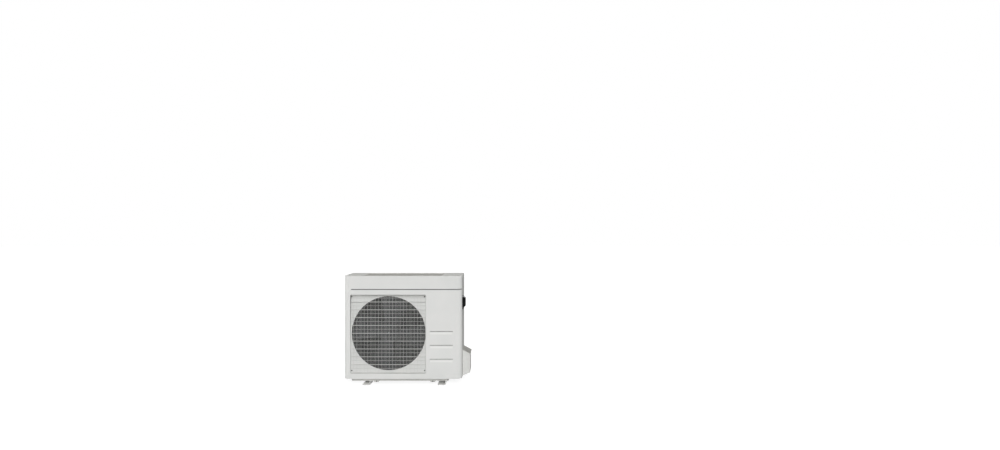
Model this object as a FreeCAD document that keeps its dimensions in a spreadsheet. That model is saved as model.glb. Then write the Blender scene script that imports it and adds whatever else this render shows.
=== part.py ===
import FreeCAD, Part
import Sketcher
import math
import os
from FreeCAD import Placement, Rotation, Vector

# Outdoor air-to-water heat pump, all sizes in millimetres.
# +Z is up, the front looks along -Y, +X is the right side seen from the front.
# The origin is the centre of the four foot slots, on the ground.
SIZES = {
    # casing
    "body_width": 908,
    "body_depth": 326,
    "body_top": 839,
    "body_offset": 8,
    "corner_radius": 48,
    "panel_bottom": 46.4,
    "panel_sheet": 1.2,
    "seam_from_front": 60,
    "seam_gap": 0.6,
    "fit_gap": 0.3,
    "bottom_flange": 8,
    # front panel
    "groove_from_top": 104,
    "groove_from_left": 57,
    "groove_width": 7,
    "groove_depth": 3,
    "recess_left": 51,
    "recess_width": 581,
    "recess_bottom": 87,
    "recess_height": 606,
    "recess_depth": 12,
    "recess_radius": 9,
    "louvre_right": 69,
    "louvre_length": 177,
    "louvre_height": 34,
    "louvre_depth": 7,
    "louvre_bottom": 166,
    "louvre_pitch": 107,
    # guard over the fan
    "guard_gap": 1.5,
    "guard_columns": 26,
    "guard_rows": 20,
    "guard_bar": 4.6,
    "guard_wire": 2.6,
    "guard_thickness": 2.5,
    "guard_inset": 1,
    "guard_tab": 18,
    "guard_screw_drop": 13,
    # fan and its ring
    "fan_from_left": 344.6,
    "fan_height": 396.7,
    "opening_radius": 285,
    "throat_radius": 279,
    "ring_outer_radius": 300,
    "ring_wall": 1.6,
    "ring_bend": 14,
    "ring_depth": 82,
    "fan_radius": 271,
    "fan_set_back": 70,
    "blade_count": 4,
    "blade_thickness": 3.2,
    "blade_root_chord": 128,
    "blade_tip_chord": 236,
    "blade_root_angle": 44,
    "blade_tip_angle": 21,
    "blade_camber": 0.09,
    "blade_sweep": 46,
    "blade_first_angle": 74,
    "hub_radius": 77.5,
    "hub_length": 84,
    "hub_wall": 3,
    "hub_round": 20,
    "hub_boss_radius": 13,
    "shaft_radius": 5,
    "shaft_play": 0.05,
    "nut_radius": 9,
    "nut_height": 8,
    "motor_radius": 66,
    "motor_length": 72,
    "motor_clear": 10,
    "bracket_width": 34,
    "bracket_spread": 96,
    "bracket_depth": 20,
    # top cover
    "lid_sheet": 1.2,
    "lid_skirt": 14,
    "lid_field_drop": 3,
    "lid_field_inset": 60,
    # base
    "pan_sheet": 1.5,
    "pan_rim": 26,
    "trough_bottom": 30,
    "trough_from_left": 54,
    "trough_from_right": 107,
    "trough_from_front": 12,
    "trough_from_back": 56,
    "trough_radius": 22,
    "tab_drop": 9,
    "tab_radius": 24,
    "tab_left": -211,
    "tab_right": 221.5,
    "drain_bore": 11.5,
    "drain_wall": 2,
    "drain_play": 0.8,
    "drain_length": 20,
    "drain_neck": 2.5,
    "drain_step": 0.5,
    "drain_from_left": 300,
    # feet
    "foot_spacing": 580,
    "foot_width": 60,
    "foot_length": 334,
    "foot_sheet": 2.5,
    "foot_flange": 22,
    "foot_rail_length": 300,
    "foot_round": 12,
    "slot_spacing": 300,
    "slot_half_width": 5.5,
    "slot_length": 22,
    # inside walls
    "partition_from_right": 260,
    "partition_sheet": 1.2,
    "return_flange": 18,
    "window_from_front": 88,
    "window_lap": 8,
    "window_round": 4,
    # coil
    "coil_thickness": 36,
    "coil_from_back": 15,
    "coil_from_left": 14,
    "coil_front_end": 75,
    "coil_bend": 58,
    "coil_under_lid": 25.8,
    "coil_plate": 1.5,
    "tube_radius": 4,
    "tube_rows": 12,
    # handle
    "handle_bottom": 574,
    "handle_height": 102,
    "handle_reach": 24,
    "handle_width": 72,
    "handle_wall": 3.2,
    "handle_from_front": 68,
    # connection cover
    "cover_from_front": 123,
    "cover_width": 180,
    "cover_reach": 57.6,
    "cover_bottom": 46,
    "cover_outer_bottom": 68,
    "cover_inner_top": 250,
    "cover_roof_drop": 32.6,
    "cover_wall": 2.5,
    "cover_eave": 4.5,
    # water side
    "water_radius": 11,
    "water_bend": 15,
    "union_radius": 16.6,
    "union_bore": 9,
    "union_thread": 22,
    "union_bottom": 95,
    "union_reach": 29,
    "supply_depth": -10,
    "return_depth": 50,
    "water_level": 165,
    # machine compartment
    "compressor_from_right": 164,
    "compressor_depth": -66,
    "compressor_radius": 62,
    "compressor_bottom": 66,
    "compressor_height": 296,
    "compressor_round": 26,
    "compressor_foot_circle": 78,
    "grommet_radius": 13,
    "grommet_height": 28,
    "accumulator_from_right": 52,
    "accumulator_depth": -78,
    "accumulator_radius": 35,
    "accumulator_bottom": 122,
    "accumulator_height": 190,
    "plates_from_right": 241,
    "plates_width": 120,
    "plates_front": 40,
    "plates_thickness": 56,
    "plates_bottom": 92,
    "plates_height": 288,
    "plates_end": 3,
    "plates_round": 25,
    "stand_sheet": 2,
    "pump_from_right": 54,
    "pump_height": 295,
    "pump_radius": 38,
    "refrigerant_radius": 8,
    "liquid_radius": 4.8,
    "refrigerant_bend": 15,
    "valve_radius": 14,
    "valve_length": 120,
    # electrical box
    "box_under_lid": 41.8,
    "box_height": 236,
    "box_front": -146,
    "box_depth": 170,
    "box_width": 240,
    "box_sheet": 1.2,
    "gland_height": 300,
    "gland_bore": 6.5,
    "gland_radius": 12,
    "gland_spacing": 42,
    # fasteners
    "screw_head": 4.6,
    "screw_shank": 2,
    "screw_thickness": 2.2,
    "screw_length": 10,
}

doc = FreeCAD.newDocument("heat_pump")
sheet = doc.addObject("Spreadsheet::Sheet", "sizes")
for row, (alias, number) in enumerate(SIZES.items(), 1):
    sheet.set(f"A{row}", alias)
    sheet.set(f"B{row}", str(number))
    sheet.setAlias(f"B{row}", alias)
doc.recompute()


class Size:
    """A length that keeps its value and the sheet expression that it comes from."""

    def __init__(self, value, text):
        self.value = float(value)
        self.text = text

    def joined(self, sign, left, right):
        a, b = value_of(left), value_of(right)
        value = {"+": a + b, "-": a - b, "*": a * b, "/": a / b if b else 0}[sign]
        return Size(value, f"({text_of(left)} {sign} {text_of(right)})")

    def __add__(self, other):
        return self.joined("+", self, other)

    def __radd__(self, other):
        return self.joined("+", other, self)

    def __sub__(self, other):
        return self.joined("-", self, other)

    def __rsub__(self, other):
        return self.joined("-", other, self)

    def __mul__(self, other):
        return self.joined("*", self, other)

    def __rmul__(self, other):
        return self.joined("*", other, self)

    def __truediv__(self, other):
        return self.joined("/", self, other)

    def __neg__(self):
        return self.joined("*", -1, self)


def value_of(number):
    return number.value if isinstance(number, Size) else float(number)


def text_of(number):
    return number.text if isinstance(number, Size) else f"({number})"


class Sheet:
    """Reads the sizes by name, such as s.body_width."""

    def __getattr__(self, name):
        return Size(getattr(sheet, name), f"sizes.{name}")


s = Sheet()
nodes = {}

UP = Rotation()
DOWN = Rotation(Vector(1, 0, 0), 180)
FRONT = Rotation(Vector(1, 0, 0), 90)
BACK = Rotation(Vector(1, 0, 0), -90)
RIGHT = Rotation(Vector(0, 1, 0), 90)
LEFT = Rotation(Vector(0, 1, 0), -90)


def bind(item, prop, number):
    """Ties one property of an object to its expression in the sheet."""
    if isinstance(number, Size):
        item.setExpression(prop, number.text)
    elif "." not in prop:
        setattr(item, prop, number)


def place(item, spot, turn=UP):
    """Puts an object's own origin on a spot, turned by a fixed rotation."""
    item.Placement = Placement(Vector(*[value_of(number) for number in spot]), turn)
    for letter, number in zip("xyz", spot):
        bind(item, f"Placement.Base.{letter}", number)


def body(name, spot=(0, 0, 0), turn=UP):
    made = doc.addObject("PartDesign::Body", name)
    place(made, spot, turn)
    return made


def keep(name, item):
    """Names an object as one piece of the machine."""
    item.Label = name
    nodes[name] = item
    return item


# Sketches
def plane_sketch(owner, plane, level):
    """A sketch on XY, XZ or YZ at a level along the plane's own world axis."""
    drawn = owner.newObject("Sketcher::SketchObject", "sketch")
    roots = owner.Origin.OriginFeatures
    drawn.AttachmentSupport = [(next(f for f in roots if f.Role == f"{plane}_Plane"), "")]
    drawn.MapMode = "FlatFace"
    along = -level if plane == "XZ" else level
    drawn.AttachmentOffset = Placement(Vector(0, 0, value_of(along)), Rotation())
    bind(drawn, "AttachmentOffset.Base.z", along)
    return drawn


def fix(drawn, kind, where, number):
    index = drawn.addConstraint(Sketcher.Constraint(kind, *where, value_of(number)))
    if isinstance(number, Size):
        drawn.setExpression(f"Constraints[{index}]", number.text)


def pin(drawn, edge, end, spot):
    """Fixes one end of an edge by its two distances from the sketch's origin."""
    fix(drawn, "DistanceX", (-1, 1, edge, end), spot[0])
    fix(drawn, "DistanceY", (-1, 1, edge, end), spot[1])


def line(drawn, start, finish):
    ends = [Vector(value_of(x), value_of(y), 0) for x, y in (start, finish)]
    edge = drawn.addGeometry(Part.LineSegment(*ends), False)
    pin(drawn, edge, 1, start)
    pin(drawn, edge, 2, finish)
    return edge


def arc(drawn, start, finish, centre, radius):
    """A quarter or half turn from start to finish, joined to the edges already drawn."""
    a, b, c = [Vector(value_of(x), value_of(y), 0) for x, y in (start, finish, centre)]
    middle = (a + b) / 2 - c
    half_turn = middle.Length < 1e-6
    if half_turn:
        middle = (b - a).cross(Vector(0, 0, 1))
    bulge = c + middle.normalize() * value_of(radius)
    edge = drawn.addGeometry(Part.Arc(a, bulge, b), False)
    left_turn = (bulge - a).cross(b - bulge).z > 0
    pin(drawn, edge, 1 if left_turn else 2, start)
    pin(drawn, edge, 2 if left_turn else 1, finish)
    if half_turn:
        fix(drawn, "DistanceX", (-1, 1, edge, 3), centre[0])
    else:
        fix(drawn, "Radius", (edge,), radius)


def step_towards(corner, other, radius):
    """The point at a radius from a corner, along the axis-parallel edge to the other corner."""
    x, y = corner[0], corner[1]
    across = value_of(other[0]) - value_of(x)
    upward = value_of(other[1]) - value_of(y)
    if abs(across) > abs(upward):
        return (x + radius * math.copysign(1, across), y)
    return (x, y + radius * math.copysign(1, upward))


def outline(drawn, corners):
    """A closed outline. A corner (x, y, r) between two axis-parallel edges is rounded."""
    cuts = []
    for index, corner in enumerate(corners):
        before, after = corners[index - 1], corners[(index + 1) % len(corners)]
        if len(corner) == 2:
            cuts.append((corner, corner))
            continue
        first = step_towards(corner, before, corner[2])
        last = step_towards(corner, after, corner[2])
        centre = (first[0] + last[0] - corner[0], first[1] + last[1] - corner[1])
        arc(drawn, first, last, centre, corner[2])
        cuts.append((first, last))
    for index, (_, leave) in enumerate(cuts):
        line(drawn, leave, cuts[(index + 1) % len(cuts)][0])


def circle(drawn, x, y, radius):
    spot = Vector(value_of(x), value_of(y), 0)
    edge = drawn.addGeometry(Part.Circle(spot, Vector(0, 0, 1), value_of(radius)), False)
    pin(drawn, edge, 3, (x, y))
    fix(drawn, "Radius", (edge,), radius)


def slot(drawn, x, y, length, half_width):
    """A round-ended slot along the sketch's own x."""
    reach = length / 2 - half_width
    left, right = x - reach, x + reach
    line(drawn, (left, y - half_width), (right, y - half_width))
    arc(drawn, (right, y - half_width), (right, y + half_width), (right, y), half_width)
    line(drawn, (right, y + half_width), (left, y + half_width))
    arc(drawn, (left, y + half_width), (left, y - half_width), (left, y), half_width)


def rectangle(x, y, radius=None):
    """Corners of a rectangle from its (low, high) pairs, rounded if a radius is given."""
    extra = () if radius is None else (radius,)
    return [(x[0], y[0]) + extra, (x[1], y[0]) + extra, (x[1], y[1]) + extra, (x[0], y[1]) + extra]


# Solid steps
def extrude(owner, kind, plane, low, high, outlines=(), circles=(), slots=()):
    """A Pad or Pocket between two levels of the plane's world axis."""
    forward = plane != "XZ"
    start = low if forward == (kind == "Pad") else high
    drawn = plane_sketch(owner, plane, start)
    for corners in outlines:
        outline(drawn, corners)
    for x, y, radius in circles:
        circle(drawn, x, y, radius)
    for x, y, length, half_width in slots:
        slot(drawn, x, y, length, half_width)
    step = owner.newObject(f"PartDesign::{kind}", kind.lower())
    step.Profile = drawn
    bind(step, "Length", high - low)
    return step


def pad(owner, plane, low, high, *outlines, circles=(), slots=()):
    return extrude(owner, "Pad", plane, low, high, outlines, circles, slots)


def pocket(owner, plane, low, high, *outlines, circles=(), slots=()):
    return extrude(owner, "Pocket", plane, low, high, outlines, circles, slots)


def repeat(owner, step, axis, gap, count):
    """Repeats a step along its sketch's H_Axis or V_Axis."""
    row_of = owner.newObject("PartDesign::LinearPattern", "repeat")
    row_of.Originals = [step]
    row_of.Direction = (step.Profile[0], [axis])
    row_of.Mode = "Extent"
    bind(row_of, "Length", gap * (count - 1))
    bind(row_of, "Occurrences", count)
    owner.Tip = row_of
    return row_of


def turned(name, spot, turn, *profiles):
    """A piece turned about its own Z axis: corners are (radius, height)."""
    made = body(name, spot, turn)
    for corners in profiles:
        drawn = plane_sketch(made, "XZ", 0)
        outline(drawn, corners)
        step = made.newObject("PartDesign::Revolution", "turned")
        step.Profile = drawn
        step.ReferenceAxis = (drawn, ["V_Axis"])
        step.Angle = 360
    return made


def rod(name, spot, turn, radius, length):
    made = doc.addObject("Part::Cylinder", name)
    place(made, spot, turn)
    bind(made, "Radius", radius)
    bind(made, "Height", length)
    return made


def strip(name, x, y, z):
    """A straight square wire that fills the span between two levels on each axis."""
    made = doc.addObject("Part::Box", name)
    place(made, (x[0], y[0], z[0]))
    bind(made, "Length", x[1] - x[0])
    bind(made, "Width", y[1] - y[0])
    bind(made, "Height", z[1] - z[0])
    return made


def fused(name, *pieces):
    made = doc.addObject("Part::MultiFuse", name)
    made.Shapes = list(pieces)
    return made


def together(name, pieces):
    """Separate like pieces that share one name."""
    made = doc.addObject("Part::Compound", name)
    made.Links = list(pieces)
    return keep(name, made)


def screw(name, spot, turn):
    """A pan-head screw: the head stands on its spot and the shank goes the other way."""
    head = rod(f"{name}_head", spot, turn, s.screw_head, s.screw_thickness)
    shank = rod(f"{name}_shank", spot, turn.multiply(DOWN), s.screw_shank, s.screw_length)
    return fused(name, head, shank)


def pipe(name, radius, bend, *points):
    """A tube bent in space: straight runs joined by tangent arcs of one bend radius."""
    spots = [Vector(*[value_of(number) for number in point]) for point in points]
    size, round_off = value_of(radius), value_of(bend)
    edges = []
    here = spots[0]
    for before, corner, after in zip(spots, spots[1:], spots[2:]):
        arrive = (before - corner).normalize()
        leave = (after - corner).normalize()
        half = arrive.getAngle(leave) / 2
        back = round_off / math.tan(half)
        centre = corner + (arrive + leave).normalize() * (round_off / math.sin(half))
        bulge = centre + (corner - centre).normalize() * round_off
        edges.append(Part.LineSegment(here, corner + arrive * back).toShape())
        here = corner + leave * back
        edges.append(Part.Arc(corner + arrive * back, bulge, here).toShape())
    edges.append(Part.LineSegment(here, spots[-1]).toShape())
    path = Part.Wire(edges)
    ring = Part.Wire(Part.makeCircle(size, spots[0], spots[1] - spots[0]))
    solid = path.makePipeShell([ring], True, False)
    expected = math.pi * size * size * path.Length
    if abs(solid.Volume - expected) > 0.01 * expected:
        raise RuntimeError(f"{name} did not sweep whole")
    made = doc.addObject("Part::Feature", name)
    made.Shape = solid
    return made


# Planes that many pieces share
x_left = -s.body_width / 2 - s.body_offset
x_right = s.body_width / 2 - s.body_offset
y_front = -s.body_depth / 2
y_back = s.body_depth / 2
y_seam = y_front + s.seam_from_front
lid_seat = s.body_top - s.lid_sheet
box_bottom = lid_seat - s.box_under_lid - s.box_height
pan_ledge = s.panel_bottom + s.panel_sheet
pan_floor = s.trough_bottom + s.pan_sheet
x_partition = x_right - s.partition_from_right
fan_x = x_left + s.fan_from_left
recess_x = (x_left + s.recess_left, x_left + s.recess_left + s.recess_width)
recess_z = (s.recess_bottom, s.recess_bottom + s.recess_height)
recess_face = y_front + s.recess_depth
recess_rear = recess_face + s.panel_sheet
trough_x = (x_left + s.trough_from_left, x_right - s.trough_from_right)
trough_y = (y_front + s.trough_from_front, y_back - s.trough_from_back)
trough_back = trough_y[1] - s.pan_sheet - s.fit_gap
rim_top = pan_ledge + s.pan_rim + s.fit_gap
coil_x = (x_left + s.coil_from_left, x_partition - s.coil_plate * 2)
coil_y = y_back - s.coil_from_back
coil_front = coil_y - s.coil_thickness
coil_z = (pan_ledge + s.pan_sheet, lid_seat - s.coil_under_lid)
bend_pitch = (coil_z[1] - coil_z[0] - 60) / s.tube_rows


# Where the casing screws sit
screw_hole = s.screw_shank + s.fit_gap
side_screw_y = (y_seam + 12, y_back - 14)
side_screw_z = (s.panel_bottom + 16, lid_seat - s.lid_skirt / 2)
rear_screw_z = (s.panel_bottom + 40, lid_seat - 40)


def wrap(outer, inner, rear):
    """Plan outline of sheet that wraps the front and both round corners, between two offsets."""
    left, right, front = x_left, x_right, y_front
    round_out = s.corner_radius - outer
    round_in = s.corner_radius - inner
    return [
        (left + outer, rear),
        (left + outer, front + outer, round_out),
        (right - outer, front + outer, round_out),
        (right - outer, rear),
        (right - inner, rear),
        (right - inner, front + inner, round_in),
        (left + inner, front + inner, round_in),
        (left + inner, rear),
    ]


def groove_run(outer, inner, beyond):
    """Plan outline of the pressed line, from its left end along the front and round the corner."""
    left, right = x_left + s.groove_from_left - beyond, x_right
    round_out = s.corner_radius - outer
    round_in = s.corner_radius - inner
    return [
        (left, y_front + outer),
        (right - outer, y_front + outer, round_out),
        (right - outer, y_seam),
        (right - inner, y_seam),
        (right - inner, y_front + inner, round_in),
        (left, y_front + inner),
    ]


def plan(inset, rear_radius):
    """Plan outline of the whole casing, inset all round."""
    round_in = s.corner_radius - inset
    return [
        (x_left + inset, y_front + inset, round_in),
        (x_right - inset, y_front + inset, round_in),
        (x_right - inset, y_back - inset, rear_radius),
        (x_left + inset, y_back - inset, rear_radius),
    ]


guard_x = (recess_x[0] + s.guard_gap, recess_x[1] - s.guard_gap)
guard_z = (recess_z[0] + s.guard_gap, recess_z[1] - s.guard_gap)
guard_row = (guard_z[1] - guard_z[0]) / s.guard_rows


def guard_screw_spots():
    """Corner screws: the lower ones between the first two bars, the upper ones under the frame."""
    inset = s.guard_tab / 2
    level = y_front + s.guard_inset + s.guard_thickness
    return [
        (x, level, z)
        for x in (guard_x[0] + inset, guard_x[1] - inset)
        for z in (guard_z[0] + guard_row * 0.75, guard_z[1] - s.guard_screw_drop)
    ]


# Front panel: one steel pressing with round corners. A line is pressed in near the top,
# a shallow pan with the round air opening on the left and three slanted ribs on the right.
def make_front_panel():
    made = body("front_panel")
    t = s.panel_sheet
    pad(made, "XY", s.panel_bottom, lid_seat, wrap(0, t, y_seam))
    pad(made, "XY", s.panel_bottom, pan_ledge, wrap(t, s.bottom_flange, y_seam))
    middle = s.body_top - s.groove_from_top
    low = middle - s.groove_width / 2
    high = middle + s.groove_width / 2
    pad(made, "XY", low - t, high + t, groove_run(t / 2, s.groove_depth + t, t))
    pocket(made, "XY", low, high, groove_run(0, s.groove_depth, 0))
    around = rectangle(
        (recess_x[0] - t, recess_x[1] + t), (recess_z[0] - t, recess_z[1] + t), s.recess_radius + t
    )
    pad(made, "XZ", y_front + t / 2, recess_rear, around)
    pocket(made, "XZ", y_front, recess_face, rectangle(recess_x, recess_z, s.recess_radius))
    holes = [(spot[0], spot[2], screw_hole) for spot in guard_screw_spots()]
    holes.append((fan_x, s.fan_height, s.opening_radius))
    pocket(made, "XZ", recess_face, recess_rear, circles=holes)
    right = x_right - s.louvre_right
    left = right - s.louvre_length
    for number in range(3):
        foot = s.louvre_bottom + s.louvre_pitch * number
        top = foot + s.louvre_height
        deep = y_front + s.louvre_depth
        shell = [
            (y_front + t / 2, foot - t),
            (y_front + t, foot - t),
            (deep + t, top - t),
            (deep + t, top + t),
            (y_front + t / 2, top + t),
        ]
        pad(made, "YZ", left - t, right + t, shell)
        pocket(made, "YZ", left, right, [(y_front, foot), (deep, top - t), (deep, top), (y_front, top)])
    return keep("front_panel", made)


# Fan guard: a welded grid. Strong bars lie in front, upright wires behind them and thin bars
# at the back, with a frame round the edge and a tab with a leg in each corner.
def make_fan_guard():
    made = body("fan_guard")
    x, z = guard_x, guard_z
    y1 = y_front + s.guard_inset
    y2 = y1 + s.guard_thickness
    y3 = y2 + s.guard_thickness
    y4 = y3 + s.guard_thickness
    bar, wire, tab = s.guard_bar, s.guard_wire, s.guard_tab
    inner = rectangle((x[0] + bar, x[1] - bar), (z[0] + bar, z[1] - bar))
    pad(made, "XZ", y2, y3, rectangle(x, z, s.recess_radius), inner)
    for spot in guard_screw_spots():
        across = (spot[0] - tab / 2, spot[0] + tab / 2)
        along = (spot[2] - tab / 2, spot[2] + tab / 2)
        pad(made, "XZ", y2, recess_face, rectangle(across, along, tab / 3))
    wide = (x[1] - x[0]) / (s.guard_columns + 1)
    tall = guard_row
    first = x[0] + wide
    upright = pad(made, "XZ", y2, y3, rectangle((first - wire / 2, first + wire / 2), z))
    repeat(made, upright, "H_Axis", wide, s.guard_columns)
    low = z[0] + tall / 4
    strong = pad(made, "XZ", y1, y2, rectangle(x, (low - bar / 2, low + bar / 2)))
    repeat(made, strong, "V_Axis", tall * 2, s.guard_rows / 2)
    high = low + tall
    thin = pad(made, "XZ", y3, y4, rectangle(x, (high - wire / 2, high + wire / 2)))
    repeat(made, thin, "V_Axis", tall * 2, s.guard_rows / 2)
    holes = [(spot[0], spot[2], screw_hole) for spot in guard_screw_spots()]
    pocket(made, "XZ", y1, recess_face, circles=holes)
    return keep("fan_guard", made)


# Bell mouth: a ring behind the opening, its front edge bent outwards in a smooth curve.
def make_bell_mouth():
    wall, bend = s.ring_wall, s.ring_bend
    spot = (fan_x, recess_rear, s.fan_height)
    profile = [
        (s.ring_outer_radius, 0),
        (s.throat_radius, 0, bend + wall),
        (s.throat_radius, s.ring_depth),
        (s.throat_radius + wall, s.ring_depth),
        (s.throat_radius + wall, wall, bend),
        (s.ring_outer_radius, wall),
    ]
    return keep("bell_mouth", turned("bell_mouth", spot, BACK, profile))


# Fan: four swept and twisted blades lofted through curved sections, on a hollow hub.
def blade_section(reach, share):
    """A thin curved section in the plane at a distance from the axis, which is local Z."""
    chord = SIZES["blade_root_chord"] * (1 - share) + SIZES["blade_tip_chord"] * share
    angle = SIZES["blade_root_angle"] * (1 - share) + SIZES["blade_tip_angle"] * share
    lift = SIZES["blade_camber"] * chord
    thick = SIZES["blade_thickness"] * (1.25 - 0.5 * share)
    shift = SIZES["blade_sweep"] * share * share
    turn = Rotation(Vector(1, 0, 0), angle)

    def spot(along, up):
        return Vector(reach, 0, 0) + turn.multVec(Vector(0, along, up)) + Vector(0, shift, 0)

    front = [spot(-chord / 2, thick / 4), spot(0, lift + thick / 2), spot(chord / 2, thick / 4)]
    back = [spot(chord / 2, -thick / 4), spot(0, lift - thick / 2), spot(-chord / 2, -thick / 4)]
    return Part.Wire([
        Part.Arc(*front).toShape(),
        Part.LineSegment(front[2], back[0]).toShape(),
        Part.Arc(*back).toShape(),
        Part.LineSegment(back[2], front[0]).toShape(),
    ])


def make_fan():
    hub, tip = SIZES["hub_radius"], SIZES["fan_radius"]
    start = hub / 2
    reaches = [start + (tip * 1.04 - start) * number / 4 for number in range(5)]
    sections = [blade_section(reach, (reach - start) / (tip * 1.04 - start)) for reach in reaches]
    blade = Part.makeLoft(sections, True, False)
    length = tip * 2
    base = Vector(0, 0, -tip)
    ring = Part.makeCylinder(tip, length, base)
    core = Part.makeCylinder(hub - SIZES["hub_wall"] / 2, length, base)
    blade = blade.common(ring.cut(core))
    count = int(SIZES["blade_count"])
    blades = []
    for number in range(count):
        one = blade.copy()
        one.rotate(Vector(), Vector(0, 0, 1), SIZES["blade_first_angle"] + 360 * number / count)
        blades.append(one)
    spot = (fan_x, y_front + s.fan_set_back, s.fan_height)
    vanes = doc.addObject("Part::Feature", "fan_blades")
    vanes.Shape = Part.makeCompound(blades)
    place(vanes, spot, FRONT)
    wall, front, rear = s.hub_wall, s.hub_length / 2, -s.hub_length / 2
    bore = s.shaft_radius + s.shaft_play
    profile = [
        (bore, front),
        (s.hub_radius, front, s.hub_round),
        (s.hub_radius, rear),
        (s.hub_radius - wall, rear),
        (s.hub_radius - wall, front - wall, s.hub_round - wall),
        (s.hub_boss_radius, front - wall),
        (s.hub_boss_radius, rear + wall),
        (bore, rear + wall),
    ]
    return keep("fan", fused("fan", turned("fan_hub", spot, FRONT, profile), vanes))


# Fan drive: shaft, nut, motor and the upright bracket that carries the motor.
fan_y = y_front + s.fan_set_back
hub_front = fan_y - s.hub_length / 2
hub_back = fan_y + s.hub_length / 2
motor_front = hub_back + s.motor_clear
motor_back = motor_front + s.motor_length
bracket_back = motor_back + s.bracket_depth


def make_fan_drive():
    start = (fan_x, motor_front + s.motor_length / 2 - s.seam_gap, s.fan_height)
    reach = s.motor_length / 2 - s.seam_gap + s.motor_clear + s.hub_length + s.nut_height + 2
    keep("fan_shaft", rod("fan_shaft", start, FRONT, s.shaft_radius, reach))
    nut_spot = (fan_x, hub_front, s.fan_height)
    bore = s.shaft_radius + s.shaft_play
    six = [
        (s.nut_radius * round(math.cos(math.radians(60 * n)), 6),
         s.nut_radius * round(math.sin(math.radians(60 * n)), 6))
        for n in range(6)
    ]
    nut = body("fan_nut", nut_spot, FRONT)
    pad(nut, "XY", 0, s.nut_height, six, circles=[(0, 0, bore)])
    keep("fan_nut", nut)
    length, radius = s.motor_length, s.motor_radius
    profile = [
        (bore, 0),
        (s.hub_boss_radius * 2, 0),
        (s.hub_boss_radius * 2, 8),
        (radius, 8, 10),
        (radius, length),
        (0, length),
        (0, length / 2),
        (bore, length / 2),
    ]
    motor = turned("fan_motor", (fan_x, motor_front, s.fan_height), BACK, profile)
    ears = [(radius * side, radius * side2, 7) for side in (-0.82, 0.82) for side2 in (-0.82, 0.82)]
    pad(motor, "XY", length - 4, length, circles=ears)
    keep("fan_motor", motor)


def make_motor_bracket():
    made = body("motor_bracket")
    t, width, spread = s.partition_sheet, s.bracket_width, s.bracket_spread / 2
    top = coil_z[1] - 20
    for side in (-1, 1):
        middle = fan_x + spread * side
        x = (middle - width / 2, middle + width / 2)
        pad(made, "XZ", motor_back, motor_back + t, rectangle(x, (pan_floor, top)))
        for edge in (x[0], x[1] - t):
            web = rectangle((motor_back, bracket_back), (pan_floor, top))
            pad(made, "YZ", edge, edge + t, web)
        foot = rectangle(x, (motor_back, trough_back))
        pad(made, "XY", pan_floor, pan_floor + t, foot)
        head = rectangle(x, (motor_back, coil_front))
        pad(made, "XY", top - t, top, head)
    yoke = (fan_x - spread - width / 2, fan_x + spread + width / 2)
    for level in (-1, 1):
        middle = s.fan_height + s.motor_radius * 0.82 * level
        z = (middle - 16, middle + 16)
        pad(made, "XZ", motor_back, motor_back + t, rectangle(yoke, z))
    return keep("motor_bracket", made)


# Top cover: a flat sheet with a shallow sunk field and a skirt inside the panels.
def make_top_cover():
    made = body("top_cover")
    inner = s.panel_sheet + s.seam_gap + s.groove_depth
    rear_round = s.recess_radius
    pad(made, "XY", lid_seat, s.body_top, plan(0, rear_round))
    skirt = (plan(inner, rear_round), plan(inner + s.lid_sheet, rear_round))
    pad(made, "XY", lid_seat - s.lid_skirt, lid_seat, *skirt)
    inset = s.lid_field_inset
    field_x = (x_left + inset * 2.4, x_right - inset * 2.6)
    field_y = (y_front + inset * 0.6, y_back - inset * 0.6)
    t, drop = s.lid_sheet, s.lid_field_drop
    under = rectangle((field_x[0] - t, field_x[1] + t), (field_y[0] - t, field_y[1] + t), inset / 3 + t)
    pad(made, "XY", lid_seat - drop, lid_seat, under)
    pocket(made, "XY", s.body_top - drop, s.body_top, rectangle(field_x, field_y, inset / 3))
    holes = [(y, side_screw_z[1], screw_hole) for y in side_screw_y]
    pocket(made, "YZ", x_left, x_right, circles=holes)
    return keep("top_cover", made)


# Side panels: flat sheets behind the round corners, each with a flange turned in at the rear.
def make_side_panel(name, side):
    made = body(name)
    t = s.panel_sheet
    wall = (x_right - t, x_right) if side > 0 else (x_left, x_left + t)
    edge = (x_right - s.return_flange, x_right) if side > 0 else (x_left, x_left + s.return_flange)
    face = rectangle((y_seam + s.seam_gap, y_back), (s.panel_bottom, lid_seat))
    pad(made, "YZ", wall[0], wall[1], face)
    pad(made, "XZ", y_back - t, y_back, rectangle(edge, (s.panel_bottom, lid_seat)))
    holes = [(y, z, screw_hole) for y in side_screw_y for z in side_screw_z]
    pocket(made, "YZ", wall[0], wall[1], circles=holes)
    middle = (edge[0] + edge[1]) / 2
    pocket(made, "XZ", y_back - t, y_back, circles=[(middle, z, screw_hole) for z in rear_screw_z])
    if side > 0:
        hole = rectangle(
            (s.supply_depth - s.union_radius, s.return_depth + s.union_radius),
            (s.water_level - s.union_radius, s.water_level + s.union_radius), s.screw_head,
        )
        pocket(made, "YZ", wall[0], wall[1], hole)
    else:
        window = rectangle(
            (y_front + s.window_from_front, y_back - s.coil_from_left),
            (s.panel_bottom + 34, lid_seat - 40), s.window_round,
        )
        pocket(made, "YZ", wall[0], wall[1], window)
    return keep(name, made)


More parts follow.
